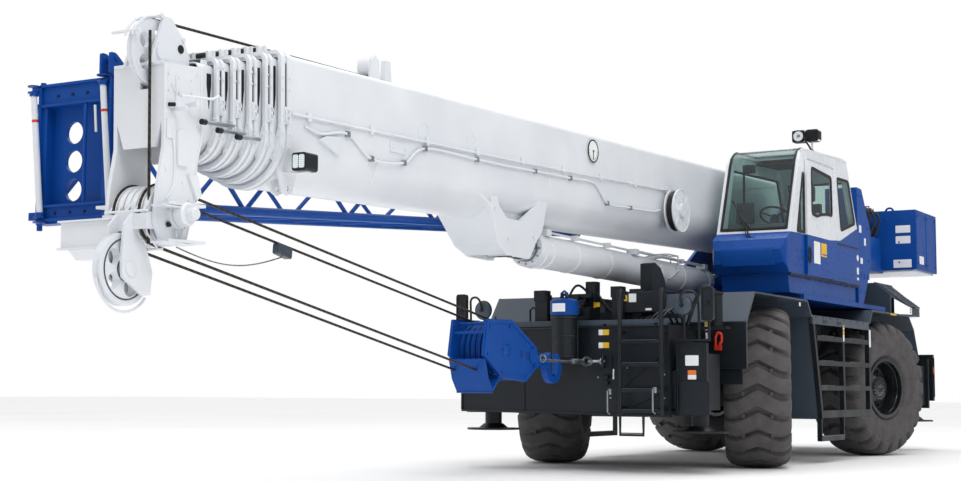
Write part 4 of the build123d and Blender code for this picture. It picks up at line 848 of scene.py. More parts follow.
class CRANE_OT_cab_outside(bpy.types.Operator):
    """Wiper, door pull, rails, pressed ribs, panels and blank plates on the cab"""

    bl_idname = "crane.cab_outside"
    bl_label = "Cab outside"

    def execute(self, context):
        wiper = Shape()
        base = (1.05, shield_y(2.7) - 0.055, 2.705)
        top = (0.735, shield_y(3.21) - 0.022, 3.21)
        low = (0.985, shield_y(2.86) - 0.022, 2.86)
        joint = (0.855, shield_y(3.03) - 0.05, 3.03)
        wiper.tube([base, (0.955, shield_y(2.86) - 0.055, 2.87), joint], 0.01, 8)
        wiper.tube([(1.02, base[1], 2.705), (0.93, shield_y(2.86) - 0.055, 2.86), joint], 0.006, 6)
        wiper.tube([low, (joint[0], joint[1] + 0.02, joint[2]), top], 0.009, 8)
        wiper.tube([(x, y + 0.016, z) for x, y, z in (low, top)], 0.006, 6)
        wiper.box(1.0, 1.1, base[1] - 0.012, base[1] + 0.08, 2.685, 2.73)
        wiper.lathe("y", (1.05, base[1] - 0.03, 2.705), [(0, 0), (0.005, 0.018), (0.06, 0.022),
                                                         (0.08, 0.022)], 20)
        wiper.piece("wiper", SEAL, "superstructure", bevel=0.001)
        blue = Shape()
        panel = curve([(-1.812, 2.375), (-1.838, 2.47), (-1.85, 2.555), (-1.835, 2.598)], 10)
        blue.plate("x", strip(panel, -0.002, 0.006), 0.715, 1.375)
        for z in (2.655, 2.575, 2.495, 2.415):
            blue.plate("x", pad(0.2, 0.95, z - 0.009, z + 0.009, 0.008), CAB_OUT - 0.004, CAB_OUT + 0.001)
        blue.box(CAB_OUT - 0.01, CAB_OUT + 0.001, -1.66, 1.08, 2.296, 2.318)
        blue.piece("cab_ribs", BLUE, "superstructure", "crane_blue", bevel=0.004)
        ribs = Shape()
        for z in RIBS:
            ribs.plate("x", pad(-1.435, -1.17, z - 0.007, z + 0.007, 0.006), CAB_OUT - 0.004, CAB_OUT + 0.006)
        ribs.piece("cab_ribs_front", BLUE, "superstructure", "crane_blue", bevel=0.003)
        door = Shape()
        door.plate("x", [(-0.945, 2.99), (-0.945, 3.062), (-0.72, 3.046), (-0.6, 3.078), (-0.6, 3.05),
                         (-0.72, 2.99)], LEAF_IN, LEAF_OUT - 0.0005)
        door.piece("door_panel", WHITE, "door", "boom_white")
        door = Shape()
        for z in RIBS:
            door.plate("x", pad(-0.55, -0.06, z - 0.007, z + 0.007, 0.006), LEAF_OUT - 0.004,
                       LEAF_OUT + 0.006)
        door.piece("door_ribs", BLUE, "door", "crane_blue", bevel=0.003)
        dark = Shape()
        dark.band("x", pad(-1.085, -0.985, 2.44, 2.65, 0.045), pad(-1.073, -0.997, 2.452, 2.638, 0.036),
                  LEAF_OUT - 0.002, LEAF_OUT + 0.006)
        dark.plate("x", pad(-1.073, -0.997, 2.452, 2.638, 0.036), LEAF_OUT - 0.002, LEAF_OUT + 0.0015)
        dark.tube([(LEAF_OUT + 0.002, -1.06, 2.62), (LEAF_OUT + 0.02, -1.055, 2.6),
                   (LEAF_OUT + 0.022, -1.05, 2.545), (LEAF_OUT + 0.02, -1.055, 2.49),
                   (LEAF_OUT + 0.002, -1.06, 2.47)], 0.008)
        dark.piece("door_pull", SEAL, "door", bevel=0.001)
        slot_lips = Shape()
        slot_lips.box(CAB_OUT - 0.006, CAB_OUT + 0.003, 0.17, 1.08, 2.772, 2.792)
        slot_lips.box(CAB_OUT - 0.02, CAB_OUT + 0.005, -1.66, 1.09, 2.262, 2.288)
        slot_lips.piece("door_rail_slots", SEAL, "superstructure", bevel=0.001)
        white = Shape()
        gutter = curve([(-1.1, 3.7), (-0.97, 3.755), (-0.1, 3.758), (0.02, 3.7), (0.06, 3.58)], 20)
        white.tube([(CAB_OUT + 0.008, y, z) for y, z in gutter], 0.011)
        roof = curve([(-1.3, 3.6), (-1.215, 3.775), (-1.06, 3.845), (0.44, 3.905), (0.6, 3.85), (0.69, 3.7)],
                     30)
        white.tube([(CAB_OUT - 0.001, y, z) for y, z in roof], 0.01)
        white.piece("roof_gutters", WHITE, "superstructure", "boom_white")
        plates = Shape()
        plates.plate("x", pad(-0.87, -0.63, 2.455, 2.73, 0.012), LEAF_OUT, LEAF_OUT + 0.002)
        plates.piece("door_plate_white", PLATE, "door")
        plates = Shape()
        plates.plate("x", pad(-0.585, -0.37, 2.558, 2.728, 0.012), LEAF_OUT, LEAF_OUT + 0.002)
        plates.piece("door_plate_yellow", YELLOW, "door")
        plates = Shape()
        plates.drum("x", CAB_OUT - 0.001, CAB_OUT + 0.003, 1.045, 2.66, 0.042)
        plates.box(CAB_OUT - 0.001, CAB_OUT + 0.003, 1.005, 1.085, 2.44, 2.53)
        plates.box(CAB_OUT - 0.001, CAB_OUT + 0.003, 1.005, 1.085, 2.36, 2.395)
        plates.drum("x", CAB_OUT - 0.001, CAB_OUT + 0.004, 0.068, 2.527, 0.014)
        plates.piece("cab_plates", PLATE, "superstructure")
        return {"FINISHED"}


class CRANE_OT_roof_lamps(bpy.types.Operator):
    """Two work lamps on a bent tube over the cab, the left one facing forward"""

    bl_idname = "crane.roof_lamps"
    bl_label = "Roof lamps"

    def execute(self, context):
        case = Shape()
        for x0, x1 in ((1.232, 1.4), (1.406, 1.577)):
            case.plate("y", pad(x0, x1, 4.002, 4.154, 0.035), -0.703, -0.577)
            case.plate("y", pad(x0 + 0.02, x1 - 0.02, 4.02, 4.136, 0.03), -0.577, -0.547)
        case.lathe("y", (1.316, -0.705, 4.078), [(0.0, 0.075), (-0.012, 0.078), (-0.016, 0.07),
                                                 (-0.006, 0.064)], 40)
        for z in (4.02, 4.045, 4.07, 4.095, 4.12):
            case.box(1.42, 1.565, -0.712, -0.704, z, z + 0.01)
        case.tube(curve([(1.39, -0.64, 4.06), (1.405, -0.72, 4.05), (1.42, -0.73, 4.0), (1.455, -0.7, 3.94),
                         (1.474, -0.65, 3.86)], 16), 0.012)
        case.box(1.458, 1.49, -0.68, -0.62, 3.862, 3.905)
        case.piece("roof_lamp_cases", SEAL, "superstructure", bevel=0.004)
        face = Shape()
        face.lathe("y", (1.316, -0.706, 4.078), [(0.0, 0), (-0.004, 0.03), (-0.002, 0.066)], 40)
        face.piece("roof_lamp_lens", LENS_CLEAR, "superstructure")
        bulb = Shape()
        bulb.lathe("y", (1.316, -0.7065, 4.078), [(-0.006, 0), (-0.0055, 0.022), (-0.003, 0.03)], 24)
        bulb.piece("roof_lamp_bulb", MIRROR, "superstructure")
        return {"FINISHED"}


# ---------------------------------------------------------------- boom
BASE_FRONT = -11.95       # front of the base section, along the boom from the foot pin
PITCH = 0.15              # from one section's front to the next
HALF = 0.38               # half the base section's width; each next one is STEP less all round
STEP = 0.035
TOP = 0.618               # height of the base section's top over the foot pin, square to the boom
REEL = (-2.69, 2.975)     # middle of the cable reel: y, z
GAUGE = (-4.695, 3.425)   # middle of the angle gauge: y, z
LINE = 0.15               # height of the side line over the foot pin, square to the boom


class CRANE_OT_side_line(bpy.types.Operator):
    """Thin pipe with clips and the clipped cable along the boom's left side"""

    bl_idname = "crane.side_line"
    bl_label = "Side line"

    def execute(self, context):
        shape = Shape(on_boom)
        shape.tube([(HALF + 0.016, BASE_FRONT + 0.14, LINE), (HALF + 0.016, -8.2, LINE),
                    (HALF + 0.016, -4.45, LINE + 0.03), (HALF + 0.012, -4.38, LINE - 0.01)], 0.011)
        shape.piece("boom_pipe", WHITE, "boom")
        shape = Shape(on_boom)
        for k in range(9):
            y = BASE_FRONT + 0.35 + k * 0.88
            shape.box(HALF, HALF + 0.026, y, y + 0.045, LINE - 0.035 + k * 0.004, LINE + 0.035 + k * 0.004)
        shape.piece("boom_pipe_clips", WHITE, "boom", bevel=0.004)
        x = HALF + 0.016
        run = curve([(-9.83, 2.94), (-9.62, 2.91), (-9.25, 2.96), (-8.9, 2.8), (-8.4, 2.83), (-8.06, 3.0),
                     (-7.15, 3.02), (-6.57, 3.03), (-6.0, 3.05), (-5.23, 3.07), (-4.66, 3.08), (-4.34, 2.9),
                     (-3.75, 2.91), (-3.15, 2.93), (-2.93, 2.97)], 110)
        Shape().tube([(x, y, z) for y, z in run], 0.012).piece("boom_cable", WHITE, "boom")
        shape = Shape()
        for y, z in ((-9.25, 2.96), (-8.9, 2.8), (-8.4, 2.83), (-8.06, 3.0), (-7.15, 3.02), (-6.0, 3.05),
                     (-5.23, 3.07), (-4.34, 2.9), (-3.75, 2.91)):
            shape.box(HALF, HALF + 0.032, y - 0.02, y + 0.02, z - 0.024, z + 0.024)
            shape.bolts("x", 1, [(HALF + 0.032, y, z)], 0.009, 0.006)
        shape.piece("boom_cable_clips", STEEL, "boom", bevel=0.003)
        return {"FINISHED"}


class CRANE_OT_boom_fittings(bpy.types.Operator):
    """Cable winding on the reel, floodlight, angle gauge, bosses and small brackets on the base section"""

    bl_idname = "crane.boom_fittings"
    bl_label = "Boom fittings"

    def execute(self, context):
        y, z = REEL
        shape = Shape()
        for k in range(6):
            shape.ring("x", (0.47 + 0.0135 * k, y, z), 0.214, 0.0075, 56, 6)
            if k < 5:
                shape.ring("x", (0.477 + 0.0135 * k, y, z), 0.226, 0.0075, 56, 6)
        shape.piece("reel_cable", HOSE, "boom")
        shape = Shape()
        shape.ring("x", (0.561, y, z), 0.246, 0.006, 56, 6)
        shape.ring("x", (0.561, y, z), 0.16, 0.004, 56, 6)
        for a, b in zip(circle(8, 0.095, y, z), circle(8, 0.235, y, z)):
            shape.tube([(0.562, *a), (0.562, *b)], 0.005, 6)
        shape.bolts("x", 1, [(0.6, *spot) for spot in circle(6, 0.055, y, z)], 0.01, 0.008)
        shape.piece("reel_disc_ribs", WHITE, "boom")
        shape = Shape()
        shape.plate("y", pad(0.432, 0.568, 2.556, 2.698, 0.024), -10.052, -9.89)
        shape.piece("floodlight_housing", BLACK, "boom", bevel=0.004)
        shape = Shape()
        for x0, x1 in ((0.446, 0.496), (0.504, 0.554)):
            shape.plate("y", pad(x0, x1, 2.576, 2.68, 0.014), -10.057, -10.045)
        shape.piece("floodlight_lens", LENS_CLEAR, "boom")
        shape = Shape()
        gy, gz = GAUGE
        shape.drum("x", HALF, HALF + 0.02, gy, gz, 0.118, 48, 0.004)
        shape.piece("gauge_dial", PLATE, "boom")
        shape = Shape()
        shape.ring("x", (HALF + 0.018, gy, gz), 0.118, 0.008, 48, 8)
        for k in range(11):
            t = math.radians(180 + 18 * k)
            c, s = math.cos(t), math.sin(t)
            long = 0.03 if k % 5 == 0 else 0.018
            shape.tube([(HALF + 0.021, gy + (0.102 - long) * c, gz + (0.102 - long) * s),
                        (HALF + 0.021, gy + 0.102 * c, gz + 0.102 * s)], 0.0025, 4)
        shape.tube([(HALF + 0.023, gy, gz), (HALF + 0.023, gy, gz - 0.088)], 0.004, 5)
        shape.drum("x", HALF + 0.018, HALF + 0.028, gy, gz, 0.012, 16)
        shape.piece("gauge_marks", BLACK, "boom")
        shape = Shape()
        for ry, rz in ((-8.07, 3.15), (-7.23, 3.16)):
            shape.ring("x", (HALF + 0.0015, ry, rz), 0.085, 0.0035, 40, 6)
        shape.tube([(HALF + 0.004, -8.89, 2.59), (HALF + 0.004, -8.85, 2.66), (HALF + 0.004, -8.77, 2.82)],
                   0.006, 6)
        shape.plate("x", pad(-8.6, -8.36, 2.905, 2.998, 0.012), HALF, HALF + 0.01)
        shape.bolts("x", 1, [(HALF + 0.01, -8.57, 2.95), (HALF + 0.01, -8.39, 2.95)], 0.012, 0.01)
        shape.plate("x", [(-9.65, 2.86), (-9.37, 2.76), (-9.36, 2.92), (-9.56, 2.9)], HALF, HALF + 0.03)
        shape.piece("boom_marks_and_plates", WHITE, "boom", bevel=0.003)
        shape = Shape(on_boom)
        shape.lathe("x", (0, 0, 0), [(HALF + 0.012, 0), (HALF + 0.03, 0), (HALF + 0.03, 0.06),
                                     (HALF + 0.024, 0.075), (HALF + 0.012, 0.078)], 36)
        shape.bolts("x", 1, [(HALF + 0.026, *spot) for spot in circle(6, 0.052)], 0.01, 0.01)
        shape.piece("boom_foot_cap", STEEL, "boom")
        shape = Shape()
        lean = math.radians(11.7)
        for sign in (1, -1):
            for ly, lz in ((-6.76, 2.8), (-6.66, 2.62), (-6.3, 2.36), (-5.8, 2.42)):
                x = sign * (HALF - (2.95 - lz) * math.tan(lean) + 0.002)
                shape.lathe("x", (x, ly, lz), [(0, 0.02), (sign * 0.008, 0.018), (sign * 0.008, 0)], 16)
        shape.piece("bracket_studs", WHITE, "boom")
        return {"FINISHED"}


class CRANE_OT_collars(bpy.types.Operator):
    """Dark plates of painted shade in the gaps at the collars, cable clamps, guard bars and locking rods on
    the fronts of the boom's sections
    """

    bl_idname = "crane.collars"
    bl_label = "Collars"

    def execute(self, context):
        for k in range(5):
            body = "boom" if k == 0 else "section_%d" % k
            inner = "section_%d" % (k + 1)
            front = BASE_FRONT - PITCH * k
            depth = 0.13 if k == 0 else 0.096
            half, top = HALF - STEP * k + 0.018, TOP - STEP * k + 0.018
            # Painted shade: black tapered plates stand in for the shade in the gap ahead of each collar and
            # inside the collar's middle.
            slot = Shape(on_boom)
            for side in (1, -1):
                near = side * (half - 0.018 - STEP)
                slot.plate("x", [(front - 0.052, top - 0.13), (front - 0.002, top - 0.13),
                                 (front - 0.002, 0.28), (front - 0.027, 0.1), (front - 0.052, 0.28)], near,
                           near + side * 0.003)
                rib = (depth - 0.028) / 2
                slot.plate("x", [(front + rib, top - 0.1), (front + rib + 0.028, top - 0.1),
                                 (front + rib + 0.028, 0.2), (front + rib + 0.014, 0.06), (front + rib, 0.2)],
                           side * (half - 0.026), side * (half - 0.012))
            slot.piece("collar_gap_shade_%d" % k, BLACK, body if k == 0 else inner)
            shape = Shape(on_boom)
            mid = front + depth / 2
            for side in (1, -1):
                for z in (LINE, LINE - 0.055):
                    shape.ring("x", (side * (half + 0.02), mid, z), 0.024, 0.006, 20, 6)
                shape.box(side * half, side * (half + 0.012), mid - 0.03, mid + 0.03, LINE - 0.095,
                          LINE + 0.042)
                shape.bolts("x", side, [(side * (half + 0.012), mid - 0.02, LINE - 0.028),
                                        (side * (half + 0.012), mid + 0.02, LINE - 0.028)], 0.008, 0.008)
                for z in (0.42, 0.33, -0.02, -0.12):
                    shape.bolts("x", side, [(side * half, front + 0.022, z),
                                            (side * half, front + depth - 0.022, z)], 0.011, 0.009)
            for x in (-0.16, 0.02, 0.16):
                shape.box(x - 0.012, x + 0.012, front + 0.006, front + depth - 0.006, top, top + 0.055)
            shape.tube([(-0.2, mid, top + 0.052), (0.2, mid, top + 0.052)], 0.009, 8)
            shape.piece("collar_hardware_%d" % k, WHITE, body, bevel=0.002)
            shape = Shape(on_boom)
            shape.drum("x", -0.02, 0.11, mid, top + 0.03, 0.022, 20)
            shape.piece("collar_rollers_%d" % k, CAST, body)
            shape = Shape(on_boom)
            shape.plate("y", [(half - 0.075, -0.235), (half + 0.002, -0.02), (half + 0.002, 0.06),
                              (half - 0.022, 0.06), (half - 0.1, -0.21)], front - 0.004, front + 0.002)
            shape.bolts("y", -1, [(half - 0.014, front - 0.004, 0.03), (half - 0.022, front - 0.004, -0.04),
                                  (half - 0.068, front - 0.004, -0.19)], 0.01, 0.01)
            shape.piece("collar_face_plate_%d" % k, WHITE, body, bevel=0.001)
        shape = Shape(on_boom)
        x = HALF - 0.075
        shape.tube([(x + 0.02, -13.02, LINE - 0.02), (x + 0.02, -12.68, LINE),
                    (x + 0.03, -12.62, LINE + 0.03), (x + 0.03, -12.58, LINE)], 0.01)
        shape.piece("head_pipe", WHITE, "section_5")
        rods, ends = Shape(on_boom), Shape(on_boom)
        for k, (y0, y1, z) in enumerate(((-12.74, -12.36, -0.02), (-12.6, -12.3, -0.07),
                                         (-12.42, -12.16, -0.1))):
            reach = HALF - STEP * (4 - k) + 0.045
            rods.tube([(reach, y0, z), (reach, y1, z + 0.01)], 0.014, 12)
            ends.drum("y", y0 - 0.015, y0 + 0.035, reach, z, 0.022, 16)
        rods.piece("locking_rods", STEEL, "section_4")
        ends.piece("locking_rod_ends", BLACK, "section_4")
        return {"FINISHED"}


# ---------------------------------------------------------------- head, ropes and jib
NEST = (-11.15, 2.1196, 0.227)  # lower sheaves of the head: y, z, radius at the rope
BLOCK = (-6.23, 1.27, 0.267)    # the hook block's sheaves
TIP = -13.1                     # the head's front face, along the boom
HEAD = 0.235                    # half the head's width


def tangent(side):
    """Unit normal in y, z of the rope line that touches both sets of sheaves above (1) or below (-1)."""
    run = math.hypot(BLOCK[0] - NEST[0], BLOCK[1] - NEST[1])
    tilt = math.atan2(BLOCK[1] - NEST[1], BLOCK[0] - NEST[0])
    lean = tilt + side * math.asin((NEST[2] - BLOCK[2]) / run)
    return -math.sin(lean) * side, math.cos(lean) * side


def reeving(x):
    """One turn of hoist rope round a sheave of the head: up from the block, round and back to it."""
    (ay, az), (by, bz) = tangent(1), tangent(-1)
    start, end = math.atan2(az, ay), math.atan2(bz, by) + 2 * math.pi
    run = [(x, BLOCK[0] + ay * BLOCK[2], BLOCK[1] + az * BLOCK[2])]
    for k in range(19):
        t = start + (end - start) * k / 18
        run.append((x, NEST[0] + NEST[2] * math.cos(t), NEST[1] + NEST[2] * math.sin(t)))
    run.append((x, BLOCK[0] + by * BLOCK[2], BLOCK[1] + bz * BLOCK[2]))
    return run


class CRANE_OT_ropes(bpy.types.Operator):
    """Hoist ropes between head and hook block, the rope over the boom and the limit switch's wire"""

    bl_idname = "crane.ropes"
    bl_label = "Ropes"

    def execute(self, context):
        r = settings().rope / 2
        shape = Shape()
        for x in (-0.15, 0.09):
            shape.tube(reeving(x), r, 10)
        ay, az = tangent(1)
        start, turn = math.degrees(math.atan2(az, ay)), -190
        for x in (-0.15, 0.09):
            shape.ring("x", (x, BLOCK[0], BLOCK[1]), BLOCK[2], r, 30, 8, start, turn)
        ropes = shape.piece("hoist_rope_runs", ROPE, "section_5")
        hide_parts("hoist_ropes")
        shape = Shape()
        shape.tube([(0.12, -11.335, 3.44), (0.147, -11.335, 2.16), (0.15, -11.335, 1.9)], r, 10)
        shape.piece("tip_rope", ROPE, "section_5")
        shape = Shape()
        shape.tube([(0.045, -11.223, 3.549), (0.055, -10.2, 3.566), (0.072, -8.49, 3.594)], r, 10)
        shape.piece("rope_over_sections", ROPE, "section_5")
        shape = Shape()
        shape.tube([(0.072, -8.49, 3.594), (0.06, -3.0, 3.705), (0.04, 2.03, 3.83), (0.04, 2.09, 3.825),
                    (0.04, 2.125, 3.79), (0.04, 2.215, 3.62)], r, 10)
        shape.piece("rope_over_base", ROPE, "boom")
        shape = Shape()
        shape.drum("x", -0.13, 0.17, 2.06, 3.77, 0.05, 24)
        for x in (-0.15, 0.17):
            shape.plate("x", [(1.96, 3.7), (2.16, 3.7), (2.1, 3.845), (2.02, 3.845)], x, x + 0.014)
        shape.piece("tail_roller", WHITE, "boom", bevel=0.003)
        shape = Shape()
        y0, z0 = NEST[0] + ay * NEST[2], NEST[1] + az * NEST[2]
        y1, z1 = BLOCK[0] + ay * BLOCK[2], BLOCK[1] + az * BLOCK[2]
        y = -9.39
        z = z0 + (y - y0) * (z1 - z0) / (y1 - y0)
        shape.plate("x", rounded([(y - 0.09, z - 0.075), (y + 0.09, z - 0.115), (y + 0.1, z - 0.025),
                                  (y - 0.08, z + 0.015)], 0.02), -0.185, -0.115)
        shape.piece("limit_weight", GREY, "section_5", bevel=0.006)
        shape = Shape()
        wire = arc_points((0.1, -10.98, 1.905), (-0.15, y, z - 0.1), (0, 0, -0.1), 16)
        shape.tube(wire, 0.006, 6)
        shape.piece("limit_wire", STEEL, "section_5")
        return {"FINISHED"}


class CRANE_OT_head(bpy.types.Operator):
    """Flanges, rope guards, pin caps, bolts and hooks of the boom's head"""

    bl_idname = "crane.head"
    bl_label = "Boom head"

    def execute(self, context):
        shape = Shape(on_boom)
        shape.tube([(-HEAD + 0.004, TIP - 0.004, 0.372), (HEAD - 0.004, TIP - 0.004, 0.372)], 0.013, 10)
        for side in (1, -1):
            x = side * (HEAD + 0.002)
            shape.tube([(x, TIP + 0.004, 0.366), (x, TIP + 0.004, -0.228), (x, TIP - 0.054, -0.495),
                        (x, TIP - 0.094, -0.775), (x, TIP - 0.006, -0.934)], 0.008, 8)
            shape.tube([(x, -12.7, 0.386), (x, -12.7, -0.15), (x, -12.75, -0.34), (x, -12.76, -0.56),
                        (x, -12.81, -0.74), (x, -12.88, -0.936)], 0.008, 8)
            shape.plate("x", pad(-12.98, -12.8, 0.16, 0.3, 0.02), side * HEAD, side * (HEAD + 0.01))
            shape.plate("x", pad(-12.97, -12.86, -0.36, -0.1, 0.015), side * HEAD, side * (HEAD + 0.022))
            shape.lathe("x", (side * HEAD, TIP + 0.129, -0.716),
                        [(side * 0.04, 0), (side * 0.062, 0), (side * 0.062, 0.062), (side * 0.054, 0.074),
                         (side * 0.04, 0.078)], 32)
        shape.piece("head_flanges", WHITE, "section_5", bevel=0.002)
        shape = Shape(on_boom)
        for side in (1, -1):
            x = side * HEAD
            spots = [(x, TIP + 0.045, z) for z in (0.3, 0.18, 0.02, -0.16)]
            spots += [(x, -12.745, z) for z in (0.33, 0.14, -0.05)]
            spots += [(x + side * 0.01, y, z) for y in (-12.96, -12.82) for z in (0.18, 0.28)]
            spots += [(x, TIP + 0.03, -0.6), (x, TIP + 0.27, -0.6), (x, TIP + 0.2, -0.48),
                      (x, TIP + 0.02, -0.4)]
            shape.bolts("x", side, spots, 0.011, 0.009)
            shape.bolts("x", side, [(x + side * 0.062, *spot) for spot in circle(6, 0.05, TIP + 0.129,
                                                                                 -0.716)], 0.009, 0.009)
        shape.piece("head_bolts", WHITE, "section_5")
        shape = Shape()
        for y in (-11.235, -11.15, -11.085):
            shape.drum("x", HEAD, HEAD + 0.022, y, 2.042, 0.02, 12)
        shape.tube([(HEAD, -11.245, 2.905), (HEAD + 0.05, -11.245, 2.9)], 0.016, 10)
        shape.piece("head_black_bolts", BLACK, "section_5")
        shape = Shape()
        shape.tube([(HEAD + 0.01, -11.235, 3.06), (HEAD + 0.014, -11.18, 3.0), (HEAD + 0.012, -11.2, 2.9)],
                   0.005, 6)
        shape.tube(curve([(HEAD + 0.01, -11.24, 2.78), (HEAD + 0.012, -11.19, 2.55),
                          (HEAD + 0.012, -11.2, 2.33), (HEAD + 0.012, -11.27, 2.22)], 16), 0.005, 6)
        shape.tube(curve([(HEAD + 0.022, -11.15, 2.03), (HEAD + 0.026, -11.17, 1.95),
                          (HEAD + 0.022, -11.12, 1.94), (HEAD + 0.022, -11.09, 2.03)], 12), 0.006, 6)
        shape.tube([(HEAD, -11.05, 2.93), (HEAD + 0.1, -11.05, 2.93)], 0.02, 12)
        shape.tube([(HEAD, -11.2, 2.87), (HEAD + 0.13, -11.2, 2.875)], 0.018, 12)
        shape.drum("x", HEAD + 0.04, HEAD + 0.135, -11.153, 2.116, 0.085, 32, 0.012)
        shape.drum("x", HEAD + 0.13, HEAD + 0.2, -11.153, 2.116, 0.045, 24, 0.008)
        shape.plate("x", pad(-11.27, -11.21, 2.66, 2.8), HEAD, HEAD + 0.01)
        for z in (1.895, 2.155):
            shape.box(HEAD, HEAD + 0.115, -11.41, -11.08, z, z + 0.012)
        shape.piece("head_side_fittings", WHITE, "section_5", bevel=0.002)
        shape = Shape()
        top, low = 2.085, 1.872
        shape.box(-0.585, -0.105, -11.45, -11.3, low + 0.014, top - 0.014)
        shape.box(-0.6, -0.09, -11.475, -11.285, top - 0.014, top)
        shape.box(-0.6, -0.09, -11.475, -11.285, low, low + 0.014)
        shape.plate("x", [(-11.46, low), (-11.3, low), (-11.3, low - 0.07), (-11.38, low - 0.07)], -0.5,
                    -0.12)
        shape.piece("tip_sheave_beam", WHITE, "section_5", bevel=0.004)
        shape = Shape(on_boom)
        for k in range(5):
            x = -0.16 + 0.08 * k
            shape.tube([(x, TIP - 0.03, -0.6), (x, TIP - 0.13, -0.7), (x, TIP - 0.085, -0.86),
                        (x, TIP + 0.03, -0.965)], 0.008, 8)
        shape.tube([(-0.2, TIP - 0.128, -0.7), (0.2, TIP - 0.128, -0.7)], 0.01, 8)
        shape.tube([(-0.2, TIP + 0.03, -0.965), (0.2, TIP + 0.03, -0.965)], 0.01, 8)
        shape.piece("sheave_nest_guard", WHITE, "section_5")
        shape = Shape(on_boom)
        cy, cz = TIP + 0.09, 0.467
        for x in (0.01, 0.08):
            shape.ring("x", (x, cy, cz), 0.268, 0.008, 20, 8, 20, 140)
        for t in (28, 90, 152):
            y, z = cy + 0.268 * math.cos(math.radians(t)), cz + 0.268 * math.sin(math.radians(t))
            shape.tube([(-0.125, y, z), (0.125, y, z)], 0.012, 10)
            shape.bolts("x", 1, [(0.125, y, z)], 0.018, 0.012)
        for side in (1, -1):
            shape.lathe("x", (side * 0.125, cy, cz), [(0, 0.062), (side * 0.018, 0.058), (side * 0.018, 0)],
                        28)
        shape.piece("top_sheave_guard", WHITE, "section_5")
        shape = Shape(on_boom)
        shape.lathe("x", (0.126, TIP + 0.3, 0.52), [(0, 0.032), (0.004, 0.032), (0.004, 0)], 24)
        shape.drum("x", -0.13, 0.17, -12.6, 0.44, 0.04, 24)
        shape.piece("head_roller", BLACK, "section_5")
        shape = Shape(on_boom)
        for x in (-0.16, 0.17):
            shape.plate("x", [(-12.66, 0.36), (-12.54, 0.36), (-12.57, 0.47), (-12.63, 0.47)], x, x + 0.012)
        shape.piece("head_roller_brackets", WHITE, "section_5", bevel=0.003)
        shape = Shape(on_boom)
        y, z = TIP - 0.165, -1.112
        for side in (1, -1):
            shape.lathe("x", (0, y, z), [(side * 0.0825, 0.0), (side * 0.098, 0.0), (side * 0.098, 0.04),
                                         (side * 0.092, 0.052), (side * 0.0825, 0.054)], 28)
        shape.ring("x", (0, y + 0.02, z - 0.015), 0.285, 0.01, 20, 8, 190, 130)
        shape.piece("tip_sheave_cap", WHITE, "section_5")
        shape = Shape(on_boom)
        for side in (1, -1):
            for radius, sides in ((0.215, 40), (0.082, 28)):
                shape.ring("x", (side * 0.036, y, z), radius, 0.006, sides, 6)
        shape.piece("tip_sheave_rings", GREY, "single_sheave")
        return {"FINISHED"}


class CRANE_OT_jib(bpy.types.Operator):
    """Tie rods with red bands, joint rings, gussets and pins on the stowed jib"""

    bl_idname = "crane.jib"
    bl_label = "Stowed jib"

    def execute(self, context):
        ties = (((-1.217, 3.11), (-1.121, 2.206)), ((-0.505, 3.131), (-0.418, 2.237)))
        y = -11.14
        shape, bands, ends = Shape(), Shape(), Shape()
        for (x0, z0), (x1, z1) in ties:
            top, foot = Vector((x0, y, z0)), Vector((x1, y, z1))
            shape.tube([top, foot], 0.024, 16)
            for a in (0.1, 0.12, 0.9):
                shape.tube([top.lerp(foot, a), top.lerp(foot, a + 0.006)], 0.0255, 16)
            bands.tube([top.lerp(foot, 0.205), top.lerp(foot, 0.228)], 0.0255, 16)
            for x, z, away in ((x0, z0, 0.035), (x1, z1, -0.035)):
                ends.tube([(x, y, z), (x, y, z + away)], 0.034, 14)
                ends.tube([(x, y, z + 2 * away), (x, y, z + 2.3 * away)], 0.05, 16)
                ends.tube([(x - 0.06, y, z + away), (x + 0.04, y, z + away)], 0.01, 8)
        shape.tube([(-0.592, -11.128, 2.992), (-0.575, -11.128, 2.788)], 0.01, 8)
        shape.piece("jib_ties", WHITE, "boom")
        bands.piece("jib_red_bands", RED, "boom")
        for x0 in (-0.53, -0.44):
            plate = rounded([(-11.16, 3.215), (-11.0, 3.215), (-11.0, 3.3), (-11.1, 3.375), (-11.16, 3.375)],
                            0.02)
            ends.plate("x", plate, x0, x0 + 0.02)
        ends.drum("x", -0.55, -0.41, -11.09, 3.33, 0.022, 18)
        for x in (-1.17, -0.45):
            ends.box(x - 0.012, x + 0.012, -11.125, -11.1, 2.15, 3.19)
        for z in (3.03, 3.185, 2.15, 2.255):
            ends.box(-1.17, -0.45, -11.125, -11.1, z - 0.01, z + 0.01)
        ends.tube([(-0.7, -11.112, 2.27), (-0.7, -11.112, 3.01)], 0.014, 8)
        for x, z in ((-1.22, 3.2), (-1.22, 2.19)):
            ends.drum("z", z - 0.11, z + 0.03, x, -11.04, 0.022, 14)
        ends.piece("jib_ends", BLUE, "boom", bevel=0.002)
        shape = Shape()
        shape.bolts("y", -1, [(x, -11.1, z) for x in (-1.0, -0.85, -0.7) for z in (2.2, 3.1)], 0.012, 0.01)
        shape.piece("jib_pins", BLACK, "boom")
        return {"FINISHED"}


# ---------------------------------------------------------------- lift cylinder and superstructure
LIFT_FOOT = (-0.45, 2.262)       # the lift cylinder's foot pin: y, z
LIFT_EYE = (-5.9, 2.34)          # its eye on the boom: y, z
VALVES = (2.7, 2.95, 3.2, 3.45)  # the valve block's sections along y


def on_lift(x, along, up):
    """A point given along the lift cylinder from its foot pin, in the frame."""
    run = math.hypot(LIFT_EYE[0] - LIFT_FOOT[0], LIFT_EYE[1] - LIFT_FOOT[1])
    c, s = (LIFT_EYE[0] - LIFT_FOOT[0]) / run, (LIFT_EYE[1] - LIFT_FOOT[1]) / run
    return at(x, LIFT_FOOT[0] + along * c + up * s, LIFT_FOOT[1] + along * s - up * c)


